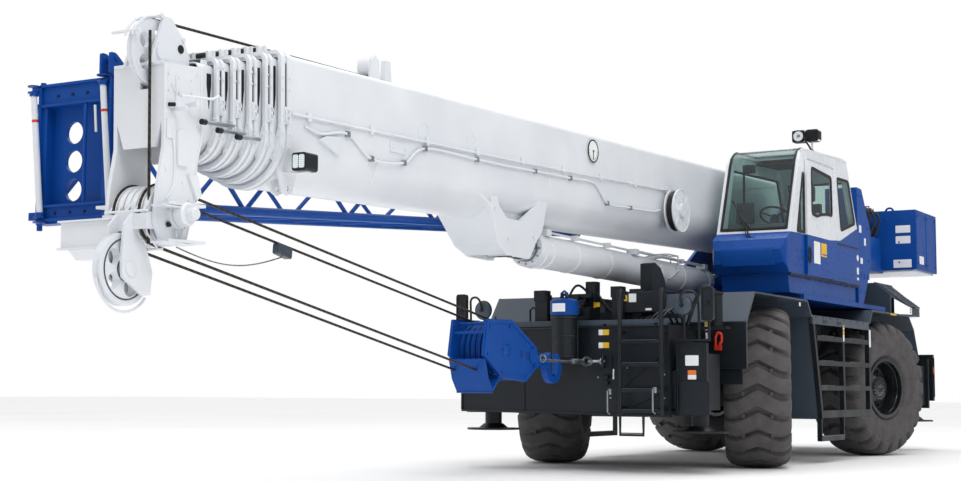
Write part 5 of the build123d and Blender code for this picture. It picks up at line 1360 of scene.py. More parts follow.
class CRANE_OT_lift_cylinder(bpy.types.Operator):
    """Hard pipes, port blocks, gland bolts, bands and pin plates of the lift cylinder"""

    bl_idname = "crane.lift_cylinder"
    bl_label = "Lift cylinder"

    def execute(self, context):
        shape = Shape(on_lift)
        for x, start, stop in ((0.085, 0.5, 4.8), (0.125, 0.5, 2.6)):
            shape.tube([(x, start, 0.175), (x, start + 0.02, 0.198), (x, stop - 0.02, 0.198),
                        (x, stop, 0.175)], 0.013, 10)
        for along in (0.5, 2.6, 4.8):
            shape.box(0.04, 0.16, along - 0.05, along + 0.05, 0.15, 0.215)
        for along in (1.2, 1.9, 3.3, 4.1):
            shape.ring("y", (0, along, 0), 0.1765, 0.006, 48, 8)
            shape.box(0.065, 0.145, along - 0.02, along + 0.02, 0.165, 0.222)
        for along in (0.42, 4.7, 4.88):
            shape.ring("y", (0, along, 0), 0.178 if along < 4.8 else 0.188, 0.009, 56, 8)
        shape.piece("lift_pipes", WHITE, "barrel", bevel=0.003)
        shape = Shape(on_lift)
        shape.bolts("y", 1, [(x, 5.013, z) for x, z in circle(12, 0.158)], 0.011, 0.014)
        shape.ring("y", (0, 5.012, 0), 0.131, 0.007, 48, 8)
        shape.piece("gland_bolts", STEEL, "barrel")
        shape = Shape()
        cage = [(0.19, -2.863, 2.42), (0.19, -2.232, 2.516), (0.19, -1.932, 2.514), (0.19, -1.905, 2.346),
                (0.19, -2.177, 2.232)]
        shape.tube(cage, 0.009, 8)
        shape.tube([(x - 0.1, y, z) for x, y, z in cage], 0.009, 8)
        for x, y, z in cage[1:]:
            shape.tube([(x, y, z), (x - 0.1, y, z)], 0.009, 8)
        shape.piece("lift_cage", WHITE, "barrel")
        shape = Shape()
        for side in (1, -1):
            shape.lathe("x", (side * 0.47, LIFT_FOOT[0], LIFT_FOOT[1]),
                        [(0, 0.085), (side * 0.014, 0.082), (side * 0.014, 0)], 28)
            shape.lathe("x", (side * 0.47, FOOT[0], FOOT[1]),
                        [(0, 0.118), (side * 0.018, 0.112), (side * 0.018, 0)], 36)
            for pin, radius, count in ((LIFT_FOOT, 0.062, 6), (FOOT, 0.09, 8)):
                shape.bolts("x", side, [(side * 0.484, *spot) for spot in circle(count, radius, *pin)], 0.011,
                            0.01)
        shape.piece("pin_plates", BLUE, "superstructure")
        return {"FINISHED"}


class CRANE_OT_winches(bpy.types.Operator):
    """Rope wound on both drums, with bolts on their flanges"""

    bl_idname = "crane.winches"
    bl_label = "Winches"

    def execute(self, context):
        r = settings().rope / 2
        for name, y, z in (("main", 2.83, 3.06), ("aux", 3.42, 3.11)):
            shape = Shape()
            turns = int(0.58 / (2.1 * r))
            for k in range(turns):
                shape.ring("x", (-0.288 + 0.576 * (k + 0.5) / turns, y, z), 0.19 + r, r, 32, 6)
            shape.piece("rope_winding_" + name, ROPE, "drum_" + name)
            shape = Shape()
            for x, side in ((0.33, 1), (-0.33, -1)):
                for radius, count in ((0.245, 16), (0.11, 8)):
                    shape.bolts("x", side, [(x, *spot) for spot in circle(count, radius, y, z)], 0.012, 0.01)
                shape.ring("x", (x, y, z), 0.276, 0.006, 48, 6)
            shape.piece("drum_flange_bolts_" + name, BLACK, "drum_" + name)
        return {"FINISHED"}


class CRANE_OT_superstructure(bpy.types.Operator):
    """Counterweight seams, eyes and blank plates, valve hoses, column plates and the turntable's bolts"""

    bl_idname = "crane.superstructure"
    bl_label = "Superstructure"

    def execute(self, context):
        shape = Shape()
        for side in (1, -1):
            face = pad(3.745, 4.885, 2.715, 3.555, 0.03)
            shape.band("x", face, inset(face, 0.022), side * 1.6, side * 1.606)
            spots = [(side * 1.604, y, z) for y in (3.8, 4.24, 4.36, 4.83) for z in (2.78, 3.49)]
            shape.bolts("x", side, spots, 0.014, 0.012)
            shape.box(side * 1.598, side * 1.606, 4.3, 4.312, 2.72, 3.55)
            for y in (3.95, 4.7):
                shape.ring("y", (side * 1.15, y, 3.585), 0.06, 0.016, 24, 8, 0, 180)
        for z in (2.98, 3.28):
            shape.box(-1.58, 1.58, 4.909, 4.916, z, z + 0.01)
        shape.bolts("y", -1, [(x, 3.72, z) for x in (1.15, 1.35, 1.55) for z in (2.8, 3.1, 3.45)], 0.014,
                    0.012)
        shape.piece("counterweight_seams", BLUE, "superstructure", bevel=0.001)
        shape = Shape()
        shape.box(-1.55, 1.55, 3.76, 4.88, 2.662, 2.689)
        shape.piece("counterweight_tray", WHITE, "superstructure", bevel=0.004)
        shape = Shape()
        for x0, x1, z0, z1 in ((1.3, 1.52, 3.24, 3.35), (1.3, 1.52, 3.08, 3.19), (1.26, 1.53, 2.72, 2.84)):
            shape.plate("y", pad(x0, x1, z0, z1, 0.008), 3.7165, 3.7195)
        shape.plate("x", pad(3.9, 4.14, 2.78, 2.9, 0.008), 1.6005, 1.6035)
        for y0, y1, z0, z1 in ((1.2, 1.3, 3.02, 3.12), (1.42, 1.5, 2.86, 2.96), (1.24, 1.34, 2.6, 2.68)):
            shape.plate("x", pad(y0, y1, z0, z1, 0.008), 1.5003, 1.503)
        shape.piece("blank_plates", PLATE, "superstructure")
        shape = Shape()
        shape.bolts("x", 1, [(1.5, y, z) for y, z in ((1.18, 3.52), (1.3, 3.52), (1.6, 3.1), (1.62, 2.66),
                                                      (1.4, 2.22), (1.2, 2.22))])
        for y in (1.25, 1.4, 1.55):
            shape.box(1.499, 1.506, y, y + 0.08, 2.4, 2.47)
        shape.tube([(1.49, 1.1, 3.6), (1.49, 1.33, 3.59), (1.49, 1.7, 3.08), (1.49, 1.69, 2.62)], 0.012, 8)
        shape.piece("column_trim", BLUE, "superstructure", bevel=0.001)
        shape = Shape()
        for k, y in enumerate(VALVES):
            shape.tube(arc_points((0.9, y, 3.57), (0.76, y + 0.06, 3.5), (-0.02, 0, 0.07), 10), 0.016, 8)
            shape.tube(arc_points((1.02, y, 3.56), (1.06, y - 0.05, 3.16), (0.1, 0, 0.06), 12), 0.018, 8)
            shape.tube(arc_points((0.92, y - 0.03, 3.56), (0.6, y - 0.02 * k, 3.17), (-0.02, 0, 0.12), 14),
                       0.016, 8)
        for k in range(4):
            shape.tube(arc_points((0.34 - 0.05 * k, 1.3, 2.075), (0.32 - 0.05 * k, -0.1, 2.1), (0, 0, 0.03),
                                  12), 0.014, 8)
        shape.tube(curve([(1.12, 2.45, 3.0), (1.26, 2.2, 3.08), (1.34, 1.95, 2.95), (1.3, 1.72, 2.78)], 20),
                   0.022, 10)
        shape.tube(curve([(1.12, 2.48, 2.9), (1.24, 2.24, 2.94), (1.3, 2.0, 2.8), (1.27, 1.74, 2.66)], 20),
                   0.022, 10)
        shape.piece("valve_hoses", HOSE, "superstructure")
        shape = Shape()
        for y in VALVES:
            shape.drum("z", 3.6, 3.64, 0.96, y, 0.03, 16)
            shape.drum("x", 1.02, 1.05, y, 3.57, 0.024, 14)
        shape.lathe("y", (0.76, 2.56, 3.42), [(0, 0), (-0.03, 0.05), (-0.012, 0.095), (0, 0.108)], 32)
        for y in (2.72, 3.06, 3.4):
            shape.ring("y", (0.76, y, 3.42), 0.112, 0.008, 40, 8)
        shape.piece("valve_caps", STEEL, "superstructure")
        shape = Shape()
        for x, y in circle(36, 0.7, 0.0, 0.45):
            shape.drum("z", 1.985, 2.0, x, y, 0.018, 6)
        shape.piece("slew_ring_bolts", BLACK, "carrier")
        shape = Shape()
        for side in (1, -1):
            x = side * 0.4405
            for outline in ([(0.1, 2.7), (0.5, 2.7), (0.95, 3.05), (0.95, 2.62), (0.55, 2.45), (0.1, 2.45)],
                            [(1.35, 2.35), (2.1, 2.35), (2.2, 2.75), (1.45, 2.75)]):
                loop = rounded(outline, 0.05)
                shape.band("x", loop, inset(loop, 0.018), x, x + side * 0.008)
        shape.bolts("z", 1, [(x, y, 2.06) for x in (-0.82, -0.55) for y in (-1.05, -0.5, 0.1, 0.7, 1.3, 2.2)],
                    0.014, 0.012)
        shape.piece("turntable_trim", BLUE, "superstructure", bevel=0.001)
        return {"FINISHED"}


# ---------------------------------------------------------------- carrier
FRONT = -4.284            # the front body's face
SIDE = 1.62               # outer edge of decks and fenders


class CRANE_OT_front_body(bpy.types.Operator):
    """Rails, edges, bolts, latches, plates and hoses on the front body"""

    bl_idname = "crane.front_body"
    bl_label = "Front body"

    def execute(self, context):
        y = FRONT
        shape = Shape()
        for line, r, sides in (
                (((-1.46, 0.66), (-1.46, 1.17), (-1.085, 1.29), (-0.945, 1.55), (1.07, 1.568)), 0.012, 8),
                (((-1.46, 0.655), (1.09, 0.618)), 0.012, 8),
                (((0.56, 0.66), (1.02, 0.86)), 0.006, 6),
                (((0.56, 0.92), (1.03, 1.28)), 0.006, 6)):
            shape.tube([(x, y - 0.006, z) for x, z in line], r, sides)
        for x0, x1, thick, z0, z1 in ((-0.66, -0.65, 0.01, 0.66, 1.52), (0.515, 0.527, 0.012, 0.66, 1.52),
                                      (1.063, 1.087, 0.016, 0.66, 1.52), (0.53, 1.06, 0.012, 0.875, 0.897)):
            shape.box(x0, x1, y - thick, y, z0, z1)
        shape.piece("front_edges", BLACK, "carrier", bevel=0.002)
        shape = Shape()
        spots = [(0.56 + 0.075 * k, y - 0.012, 0.886) for k in range(7)]
        spots += [(x, y, z) for x, z in ((0.4, 0.8), (1.03, 0.8), (1.03, 1.05), (0.6, 1.12), (0.25, 1.02),
                                         (-0.7, 1.48))]
        shape.bolts("y", -1, spots, 0.011, 0.009)
        shape.piece("front_bolts", STEEL, "carrier")
        shape = Shape()
        shape.box(1.115, 1.455, -4.19, -4.18, 1.36, 1.385)
        for x in (1.44, 1.13):
            shape.tube([(x, -4.186, 0.66), (x, -4.186, 1.36)], 0.01, 8)
        shape.tube([(1.14, -4.187, 0.72), (1.42, -4.187, 0.93)], 0.006, 6)
        shape.plate("y", pad(1.16, 1.5, 0.62, 0.98, 0.03), -4.2, -4.18)
        shape.bolts("y", -1, [(x, -4.18, z) for x in (1.15, 1.42) for z in (1.3, 1.05)], 0.01, 0.008)
        shape.piece("guard_edges_fl", BLACK, "outrigger_fl", bevel=0.002)
        for name, material, outline, proud in (
                ("white", PLATE, pad(1.222, 1.372, 1.143, 1.252, 0.01), 0.005),
                ("orange", LENS_AMBER, pad(1.25, 1.345, 1.05, 1.095, 0.008), 0.006),
                ("low", PLATE, pad(1.25, 1.345, 0.998, 1.047, 0.008), 0.006)):
            shape = Shape().plate("y", outline, -4.18 - proud, -4.18)
            shape.piece("guard_plate_" + name, material, "outrigger_fl")
        shape = Shape()
        for x, z0, z1 in ((0.462, 0.63, 0.885), (0.985, 0.64, 0.905)):
            shape.tube([(x, -4.44, z1), (x - 0.01, -4.475, z1 - 0.01), (x - 0.01, -4.475, z0 + 0.02),
                        (x, -4.44, z0)], 0.01, 10)
            shape.lathe("z", (x, -4.44, z1 - 0.02), pad(-0.03, 0.03, 0.016, 0.024), 14)
        shape.piece("front_latches", STEEL, "carrier")
        shape = Shape()
        for x0, x1, z0, z1 in ((1.14, 1.185, 1.545, 1.6), (1.15, 1.195, 1.445, 1.52)):
            shape.plate("y", pad(x0, x1, z0, z1, 0.006), -3.432, -3.424)
        shape.piece("fender_labels", PLATE, "carrier")
        shape = Shape()
        shape.plate("y", pad(1.14, 1.185, 1.605, 1.635, 0.006), -3.432, -3.424)
        shape.piece("fender_label_top", YELLOW, "carrier")
        for name, material, x0, x1 in (("white", PLATE, 0.258, 0.31), ("yellow", YELLOW, 0.312, 0.382)):
            shape = Shape()
            for z0, z1 in ((1.475, 1.535), (1.336, 1.396)):
                shape.plate("y", pad(x0, x1, z0, z1, 0.005), FRONT - 0.004, FRONT)
            if name == "white":
                shape.plate("y", pad(0.425, 0.441, 1.0, 1.11), FRONT - 0.004, FRONT)
            shape.piece("face_labels_" + name, material, "carrier")
        return {"FINISHED"}


class CRANE_OT_front_deck(bpy.types.Operator):
    """Plates on the guide tower, perforated deck, hose guard, vertical pipe, red hook and cable hoops"""

    bl_idname = "crane.front_deck"
    bl_label = "Front deck"

    def execute(self, context):
        shape = Shape()
        shape.plate("x", pad(-4.06, -3.9, 1.72, 1.955, 0.015), 0.405, 0.8)
        shape.plate("y", [(0.4, 1.7), (1.05, 1.66), (1.05, 1.71), (0.4, 1.75)], -3.92, -3.86)
        for x0, x1, y, z in ((-0.635, -0.481, -4.08, 1.995), (0.327, 0.46, -4.1, 2.014),
                             (0.498, 0.63, -3.98, 1.987)):
            shape.box(x0, x1, y, y + 0.12, 1.58, z - 0.05)
            shape.box(x0 - 0.012, x1 - 0.02, y - 0.006, y + 0.126, z - 0.12, z)
        for x, z in ((-0.18, 1.82), (-0.12, 1.9), (-0.05, 1.84), (-0.1, 1.74)):
            shape.drum("y", -4.1, -3.97, x, z, 0.04, 16)
        shape.box(-0.22, 0.03, -4.05, -3.96, 1.66, 1.8)
        shape.box(-0.24, 0.06, -4.06, -3.97, 1.9, 1.945)
        shape.tube([(0.03, -4.0, 1.913), (0.075, -4.0, 1.913)], 0.012, 8)
        for y, z in circle(6, 0.035, -4.0, 1.913):
            shape.drum("x", 0.07, 0.095, y, z, 0.014, 10)
        shape.drum("x", 0.07, 0.095, -4.0, 1.913, 0.03, 14)
        shape.piece("deck_blocks", BLACK, "carrier", bevel=0.004)
        shape = Shape()
        shape.plate("y", pad(0.425, 0.495, 1.85, 1.915), -4.064, -4.06)
        shape.plate("y", pad(0.06, 0.115, 1.8, 1.85), -3.964, -3.96)
        shape.plate("y", pad(0.04, 0.06, 1.79, 1.86), -3.963, -3.95)
        shape.piece("tower_plates_yellow", YELLOW, "carrier")
        shape = Shape()
        shape.plate("y", pad(0.515, 0.602, 1.838, 1.93), -4.064, -4.06)
        shape.plate("y", pad(0.713, 0.784, 1.745, 1.768), -4.064, -4.06)
        shape.piece("tower_plates_white", PLATE, "carrier")
        shape = Shape()
        shape.drum("z", 1.56, 1.92, 1.36, -3.62, 0.062, 28)
        shape.drum("z", 1.92, 1.95, 1.36, -3.62, 0.072, 28)
        shape.tube(arc_points((1.36, -3.62, 1.93), (1.05, -3.7, 1.6), (0.02, -0.05, 0.22), 14), 0.022, 10)
        shape.box(1.08, 1.5, -3.7, -3.56, 1.545, 1.575)
        for k in range(6):
            shape.tube(arc_points((0.6 + 0.06 * k, -4.2, 1.582), (0.66 + 0.06 * k, -3.6, 1.6),
                                  (0.01 * k, 0, 0.1 + 0.015 * k), 14), 0.013, 8)
        shape.piece("front_pipes", BLACK, "carrier")
        shape = Shape()
        for k in range(9):
            x = -0.88 + 0.115 * k
            shape.box(x, x + 0.07, -3.82, -3.58, 1.58, 1.588)
        for k in range(14):
            shape.lathe("z", (-0.9 + 0.055 * k, -4.18 + 0.05 * (k % 2), 1.58),
                        [(0, 0.016), (0.006, 0.013), (0.006, 0)], 12)
        shape.box(-0.98, 1.06, -4.262, -4.25, 1.578, 1.64)
        for x in (-0.8, -0.2, 0.3, 0.9):
            shape.box(x, x + 0.04, -4.262, -4.2, 1.578, 1.6)
        shape.piece("deck_treads", GREY, "carrier", bevel=0.002)
        shape = Shape()
        hook = [(1.275, -3.45, 1.36), (1.275, -3.45, 1.47), (1.305, -3.45, 1.51), (1.34, -3.45, 1.49),
                (1.34, -3.45, 1.42), (1.315, -3.45, 1.39)]
        shape.tube([tuple(p) for p in curve(hook, 20)], 0.017, 10)
        shape.box(1.258, 1.345, -3.462, -3.438, 1.32, 1.385)
        shape.piece("red_tow_hook", RED, "carrier", bevel=0.003)
        shape = Shape()
        shape.plate("y", pad(1.105, 1.18, 1.285, 1.335, 0.008), -3.44, -3.425)
        shape.piece("front_reflector", LENS_AMBER, "carrier")
        shape = Shape()
        shape.tube([(-1.02, -4.3, 1.58), (-1.02, -4.34, 1.63), (-1.02, -4.3, 1.7), (-1.02, -4.26, 1.62)],
                   0.008, 8)
        shape.tube([(-0.9, -3.7, 1.58), (-0.9, -3.7, 1.8), (-0.86, -3.7, 1.83), (-0.82, -3.7, 1.8),
                    (-0.82, -3.7, 1.58)], 0.012, 8)
        shape.tube(arc_points((-0.24, -4.06, 1.85), (-0.05, -3.96, 1.98), (0, -0.02, 0.12), 12), 0.014, 8)
        shape.tube(arc_points((0.06, -3.9, 1.95), (0.49, -3.6, 1.8), (0, -0.04, -0.18), 14), 0.016, 8)
        shape.piece("front_hoses", HOSE, "carrier")
        return {"FINISHED"}


DISH = 1.22               # the round mirrors' distance from the middle plane


class CRANE_OT_mirrors(bpy.types.Operator):
    """Mirror glasses, dished round mirrors and their bent arms"""

    bl_idname = "crane.mirrors"
    bl_label = "Mirrors"

    def execute(self, context):
        shape = Shape()
        for side in (1, -1):
            shape.plate("y", pad(side * 1.452, side * 1.548, 1.632, 1.948, 0.02), -4.2085, -4.2075)
            shape.lathe("y", (side * DISH, -4.207, 1.78), [(-0.003, 0.09), (0.0, 0.09), (0.004, 0)], 40)
        shape.piece("mirror_glasses", MIRROR, "carrier")
        shape = Shape()
        for side in (1, -1):
            outline = pad(side * 1.432, side * 1.568, 1.612, 1.968, 0.035)
            shape.band("y", outline, inset(outline, 0.016), -4.25, -4.203)
            shape.ring("y", (side * DISH, -4.225, 1.78), 0.101, 0.01, 44, 8)
            shape.lathe("y", (side * DISH, -4.262, 1.78), [(0.0, 0.022), (-0.018, 0.022), (-0.018, 0)], 20)
            shape.tube(curve([(side * DISH, -4.27, 1.78), (side * 1.225, -4.3, 1.88),
                              (side * 1.29, -4.28, 1.925), (side * 1.37, -4.25, 1.9),
                              (side * 1.39, -4.22, 1.78), (side * 1.39, -4.2, 1.42)], 30), 0.013, 8)
            shape.tube([(side * 1.5, -4.26, 1.8), (side * 1.5, -4.275, 1.8)], 0.02, 10)
        shape.piece("mirror_frames", BLACK, "carrier")
        shape = Shape()
        for side in (1, -1):
            shape.lathe("y", (side * DISH, -4.244, 1.78), [(0.0, 0.102), (-0.014, 0.085), (-0.022, 0.045),
                                                           (-0.024, 0)], 40)
        shape.piece("round_mirror_dishes", GREY, "carrier")
        return {"FINISHED"}


class CRANE_OT_ladders(bpy.types.Operator):
    """Treads, labels, deck notches and edge strips on the ladders and side decks"""

    bl_idname = "crane.ladders"
    bl_label = "Ladders"

    def execute(self, context):
        shape = Shape()
        for side in (1, -1):
            shape.box(0.56, 0.84, -4.42, -4.398, 0.425, 0.435)
            for y in (-0.55, 0.62):
                for z in (1.56, 1.255, 0.95):
                    shape.box(side * 1.56, side * 1.615, y - 0.28, y + 0.22, z, z + 0.006)
            shape.box(side * 1.55, side * 1.625, -0.865, 0.025, 0.327, 0.337)
        for z in (0.676, 0.896, 1.171, 1.411):
            shape.box(0.6, 1.01, -4.432, -4.376, z, z + 0.006)
        shape.piece("ladder_treads", GREY, "carrier")
        shape = Shape()
        for x in (0.565, 1.045):
            rail = [(x, -4.295, 1.86), (x, -4.33, 1.925), (x, -4.385, 1.945), (x, -4.404, 1.9),
                    (x, -4.404, 0.615)]
            shape.tube(rail, 0.024, 12)
            for z in (0.7, 1.5):
                shape.tube([(x, -4.404, z), (x, -4.286, z)], 0.016, 8)
        for z in (0.64, 0.86, 1.135, 1.375):
            shape.box(0.565, 1.045, -4.434, -4.374, z, z + 0.036)
        shape.tube([(0.565, -4.404, 0.62), (0.565, -4.404, 0.41), (0.835, -4.404, 0.41),
                    (0.835, -4.404, 0.62)], 0.016, 10)
        rungs = shape.piece("front_ladder_rails", BLACK, "carrier", bevel=0.002)
        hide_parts("front_ladder")
        shape = Shape()
        for side in (1, -1):
            for y0 in (-0.78, -0.22):
                shape.box(side * (SIDE + 0.001), side * (SIDE + 0.004), y0, y0 + 0.16, 1.715, 1.755)
            for k in range(9):
                shape.bolts("x", side, [(side * SIDE, -1.05 + 0.28 * k, 1.782)], 0.009, 0.007)
            for y in (-1.05, -0.35, 0.35, 1.05):
                shape.bolts("x", side, [(side * (SIDE - 0.002), y, 1.6)], 0.01, 0.008)
        shape.piece("deck_slots", CAST, "carrier")
        shape = Shape()
        for side in (1, -1):
            x0, x1 = side * (SIDE - 0.002), side * (SIDE + 0.002)
            shape.plate("x", pad(0.03, 0.075, 1.515, 1.6), x0, x1)
            shape.plate("x", pad(0.03, 0.075, 1.665, 1.69), x0, x1)
            shape.plate("x", pad(1.165, 1.235, 1.47, 1.7), x0, x1)
            shape.plate("x", pad(-1.66, -1.62, 1.885, 1.93), x0, side * (SIDE + 0.004))
        shape.piece("side_labels_white", PLATE, "carrier")
        shape = Shape()
        for side in (1, -1):
            x0, x1 = side * (SIDE - 0.002), side * (SIDE + 0.003)
            shape.plate("x", pad(0.03, 0.075, 1.605, 1.655), x0, x1)
            shape.plate("x", pad(0.03, 0.075, 1.695, 1.72), x0, x1)
            shape.plate("x", pad(2.22, 2.5, 1.945, 1.968, 0.008), x0, side * (SIDE + 0.006))
        shape.piece("side_labels_yellow", YELLOW, "carrier")
        shape = Shape()
        for side in (1, -1):
            for axle, facing in ((-AXLE, -1), (AXLE, 1)):
                x = side * (SIDE - 0.006)
                shape.tube([(x, axle - facing * 0.89, 1.972), (x, axle + facing * 0.9, 1.972)], 0.007, 6)
            shape.bolts("y", -1, [(side * x, -3.42, z) for x in (0.75, 1.15, 1.55) for z in (1.2, 1.55)],
                        0.012, 0.01)
            flap = pad(side * 0.7, side * 1.56, 0.95, 1.16)
            shape.plate("y", flap, -3.402, -3.392)
            shape.plate("y", flap, 3.652, 3.662)
            shape.plate("y", pad(side * 0.482, side * 1.618, 1.122, 1.63), -3.4245, -3.4205)
        shape.piece("fender_edges", BLACK, "carrier")
        return {"FINISHED"}


class CRANE_OT_hood_and_rear(bpy.types.Operator):
    """Mesh and slats of the engine hood, exhaust, rear lamps, reflectors and rear plates"""

    bl_idname = "crane.hood_and_rear"
    bl_label = "Hood and rear"

    def execute(self, context):
        shape = Shape()
        for side in (1, -1):
            for k in range(12):
                t = k / 11
                x, z = 1.125 + 0.455 * t, 2.466 - 0.345 * t
                shape.box(side * (x - 0.006), side * (x + 0.006), 3.3, 3.92, z, z + 0.012)
            for k in range(10):
                y = 3.3 + 0.066 * k
                shape.tube([(side * 1.12, y, 2.477), (side * 1.575, y, 2.13)], 0.006, 6)
            for z in (2.02, 2.047, 2.074):
                for m in range(5):
                    y = 3.34 + 0.1 * m
                    shape.box(side * 1.589, side * 1.596, y, y + 0.06, z, z + 0.014)
            shape.tube([(side * 1.11, 3.22, 2.474), (side * 1.11, 4.14, 2.474)], 0.01, 8)
            shape.tube([(side * 1.588, 3.62, 2.112), (side * 1.588, 3.86, 2.112)], 0.01, 8)
        shape.piece("hood_mesh", GREY, "carrier")
        shape = Shape()
        for k in range(11):
            shape.box(-1.02, 1.02, 4.16, 4.176, 1.34 + 0.055 * k, 1.365 + 0.055 * k)
        for side in (-1, 1):
            shape.box(side * 1.05, side * 1.03, 4.16, 4.18, 1.28, 1.96)
        shape.piece("radiator_slats", BLACK, "carrier", bevel=0.002)
        shape = Shape()
        shape.drum("z", 2.46, 2.485, -0.94, 3.8, 0.085, 28)
        shape.tube(curve([(-0.94, 3.8, 2.48), (-0.94, 3.8, 2.53), (-0.94, 3.86, 2.585), (-0.94, 3.96, 2.6)],
                         14), 0.052, 18)
        shape.piece("exhaust_pipe", CAST, "carrier")
        for kind, material, spots in (("red", LENS_RED, ((1.22, 1.32), (1.22, 1.18))),
                                      ("amber", LENS_AMBER, ((1.36, 1.32),)),
                                      ("clear", LENS_CLEAR, ((1.36, 1.18),))):
            shape = Shape()
            for side in (1, -1):
                for x, z in spots:
                    shape.plate("y", pad(side * (x - 0.055), side * (x + 0.055), z - 0.05, z + 0.05, 0.012),
                                5.003, 5.016)
            shape.piece("rear_lamp_" + kind, material, "carrier")
        shape = Shape()
        for side in (1, -1):
            outline = pad(side * 1.19, side * 1.49, 1.095, 1.44, 0.02)
            shape.band("y", outline, inset(outline, 0.018), 5.0, 5.022)
            shape.plate("y", pad(side * 0.93, side * 1.16, 0.83, 1.07, 0.02), 4.925, 4.934)
            shape.tube([(side * 1.497, 4.93, 0.8), (side * 1.508, 4.97, 0.8), (side * 1.508, 4.97, 1.4)],
                       0.008, 6)
        shape.piece("rear_lamp_frames", BLACK, "carrier")
        shape = Shape()
        for side in (1, -1):
            shape.plate("x", pad(4.935, 4.995, 1.16, 1.26, 0.01), side * 1.5, side * 1.506)
        shape.piece("rear_side_reflectors", LENS_AMBER, "carrier")
        return {"FINISHED"}


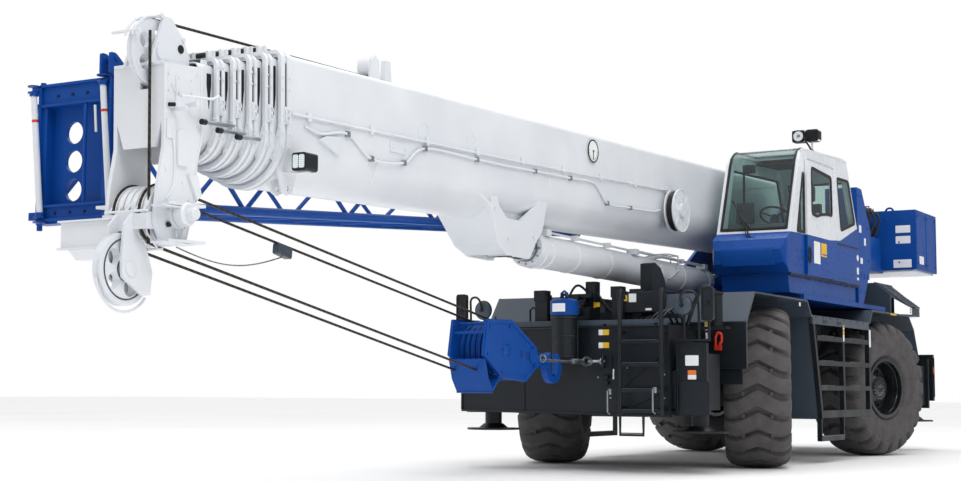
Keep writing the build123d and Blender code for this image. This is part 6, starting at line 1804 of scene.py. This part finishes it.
class CRANE_OT_hook_block(bpy.types.Operator):
    """Marks, edge bands, guard, nuts and latch of the hook block, and its sling to the front body"""

    bl_idname = "crane.hook_block"
    bl_label = "Hook block"

    def execute(self, context):
        cheek = [(-6.61, 1.56), (-6.11, 1.57), (-5.6, 1.31), (-5.58, 1.12), (-5.83, 0.96), (-6.33, 1.0),
                 (-6.68, 1.21)]
        shape = Shape()
        for side in (1, -1):
            x = side * 0.2
            shape.band("x", inset(cheek, 0.004), inset(cheek, 0.04), x, x + side * 0.007)
            shape.lathe("x", (x, *BLOCK[:2]), [(0, 0.085), (side * 0.006, 0.085), (side * 0.008, 0.078),
                                               (side * 0.008, 0)], 36)
            shape.lathe("x", (x, -5.69, 1.22), [(0, 0.075), (side * 0.016, 0.073), (side * 0.016, 0)], 28)
            shape.bolts("x", side, [(x + side * 0.007, *spot) for spot in circle(6, 0.062, *BLOCK[:2])], 0.01,
                        0.009)
            shape.bolts("x", side, [(x, y, z) for y, z in ((-6.56, 1.49), (-6.16, 1.5), (-5.68, 1.3),
                                                           (-5.66, 1.12), (-5.85, 1.01), (-6.32, 1.05),
                                                           (-6.6, 1.22))], 0.016, 0.014)
        for y, z in ((-6.6, 1.43), (-6.52, 1.52), (-6.2, 1.545), (-6.36, 1.01), (-6.05, 0.99)):
            shape.tube([(-0.19, y, z), (0.19, y, z)], 0.014, 10)
        guard = [(-6.66, 1.17), (-6.6, 0.985), (-6.5, 0.855), (-6.36, 0.985), (-6.36, 1.005), (-6.5, 0.885),
                 (-6.58, 1.0), (-6.64, 1.18)]
        shape.plate("x", guard, -0.2, 0.2)
        shape.tube([(-0.2, -6.5, 0.862), (0.2, -6.5, 0.862)], 0.013, 8)
        shape.piece("hook_block_fittings", BLUE, "section_5", bevel=0.001)
        shape = Shape()
        for side in (1, -1):
            x = side * 0.2008
            for cy, cz, ry, rz in ((-6.24, 1.27, 0.03, 0.06), (-5.92, 1.24, 0.022, 0.04),
                                   (-5.8, 1.22, 0.022, 0.04)):
                loop = [(cy + ry * math.cos(k * math.pi / 10), cz + rz * math.sin(k * math.pi / 10))
                        for k in range(20)]
                shape.band("x", loop, inset(loop, 0.007), x, x + side * 0.0012)
        shape.piece("hook_block_marks", CAST, "section_5")
        shape = Shape()
        shape.lathe("y", (0.04, -5.15, 1.18), [(-0.1, 0.0), (-0.1, 0.078), (-0.03, 0.082), (0.0, 0.078),
                                               (0.0, 0.0)], 24)
        shape.tube(curve([(0.04, -5.12, 1.15), (0.04, -5.02, 1.06), (0.04, -4.9, 1.05),
                          (0.04, -4.845, 1.115)], 16), 0.016, 8)
        shape.piece("hook_latch", BLUE, "section_5")
        shape = Shape()
        shape.tube([(0.215, -5.52, 1.185), (0.222, -5.1, 1.178), (0.23, -4.66, 1.185)], 0.015, 10)
        shape.drum("y", -4.86, -4.62, 0.232, 1.185, 0.026, 16)
        shape.ring("y", (0.232, -5.53, 1.2), 0.032, 0.01, 20, 8)
        eye = [(0.232, -4.66, 1.185), (0.232, -4.56, 1.225), (0.236, -4.46, 1.222), (0.24, -4.42, 1.188),
               (0.236, -4.46, 1.152), (0.232, -4.56, 1.148)]
        shape.tube(curve(eye + eye[:1], 30), 0.013, 8)
        shape.tube([(0.2, -4.43, 1.188), (0.3, -4.36, 1.192), (0.33, -4.3, 1.192)], 0.018, 8)
        shape.ring("x", (0.31, -4.32, 1.192), 0.034, 0.012, 20, 8)
        shape.piece("hook_sling", STEEL, "carrier")
        shape = Shape()
        shape.tube([(0.33, -4.285, 1.25), (0.33, -4.34, 1.24), (0.33, -4.355, 1.19), (0.33, -4.34, 1.14),
                    (0.33, -4.285, 1.13)], 0.015, 10)
        shape.plate("y", pad(0.27, 0.42, 1.05, 1.28, 0.02), -4.298, FRONT)
        for z in (1.02, 0.96):
            shape.drum("y", -4.33, -4.284, 0.36, z, 0.024, 14)
        shape.piece("sling_shackle", BLACK, "carrier", bevel=0.003)
        shape = Shape()
        wx, wy = -0.08, -4.44
        shape.lathe("z", (wx, wy, 1.69), [(0, 0.146), (0.004, 0.153), (0.155, 0.153), (0.17, 0.13),
                                          (0.185, 0.06), (0.185, 0)], 40)
        shape.tube([(wx - 0.035, wy, 1.86), (wx - 0.035, wy, 1.93), (wx, wy, 1.955), (wx + 0.035, wy, 1.93),
                    (wx + 0.035, wy, 1.86)], 0.014, 10)
        shape.piece("weight_cap", BLUE, "carrier")
        shape = Shape()
        turns = [math.radians(-120 + 10 * k) for k in range(7)]
        outer, inner = ([(wx + r * math.cos(t), wy + r * math.sin(t)) for t in turns]
                        for r in (0.156, 0.15366))
        shape.plate("z", outer + inner[::-1], 1.725, 1.815)
        shape.piece("weight_plate", PLATE, "carrier")
        shape = Shape()
        for z in (1.24, 1.46, 1.66):
            shape.ring("z", (wx, wy, z), 0.146, 0.009, 44, 8)
        shape.tube([(wx + 0.16, wy, 1.22), (wx + 0.16, wy, 1.62), (wx + 0.1, wy + 0.1, 1.66)], 0.01, 8)
        shape.piece("weight_bands", BLACK, "carrier")
        return {"FINISHED"}


OPERATORS = [CRANE_OT_stage, CRANE_OT_finishes, CRANE_OT_tyres, CRANE_OT_wheel_parts, CRANE_OT_cab_glass,
             CRANE_OT_cab_seat, CRANE_OT_cab_outside, CRANE_OT_roof_lamps, CRANE_OT_side_line,
             CRANE_OT_boom_fittings, CRANE_OT_collars, CRANE_OT_ropes, CRANE_OT_head, CRANE_OT_jib,
             CRANE_OT_lift_cylinder, CRANE_OT_winches, CRANE_OT_superstructure, CRANE_OT_front_body,
             CRANE_OT_front_deck, CRANE_OT_mirrors, CRANE_OT_ladders, CRANE_OT_hood_and_rear,
             CRANE_OT_hook_block]


class CRANE_PT_panel(bpy.types.Panel):
    """The crane's pieces"""

    bl_label = "Crane"
    bl_idname = "CRANE_PT_panel"
    bl_space_type = "VIEW_3D"
    bl_region_type = "UI"
    bl_category = "Crane"

    def draw(self, context):
        for name in ("lens", "floor", "rope", "seal"):
            self.layout.prop(context.scene.crane, name)
        for operator in OPERATORS:
            self.layout.operator(operator.bl_idname)


CLASSES = [CraneSettings, *OPERATORS, CRANE_PT_panel]


def register():
    for item in CLASSES:
        bpy.utils.register_class(item)
    bpy.types.Scene.crane = bpy.props.PointerProperty(type=CraneSettings)


def unregister():
    del bpy.types.Scene.crane
    for item in reversed(CLASSES):
        bpy.utils.unregister_class(item)


def main():
    register()
    for operator in OPERATORS:
        family, name = operator.bl_idname.split(".")
        getattr(getattr(bpy.ops, family), name)()


if __name__ == "__main__":
    main()
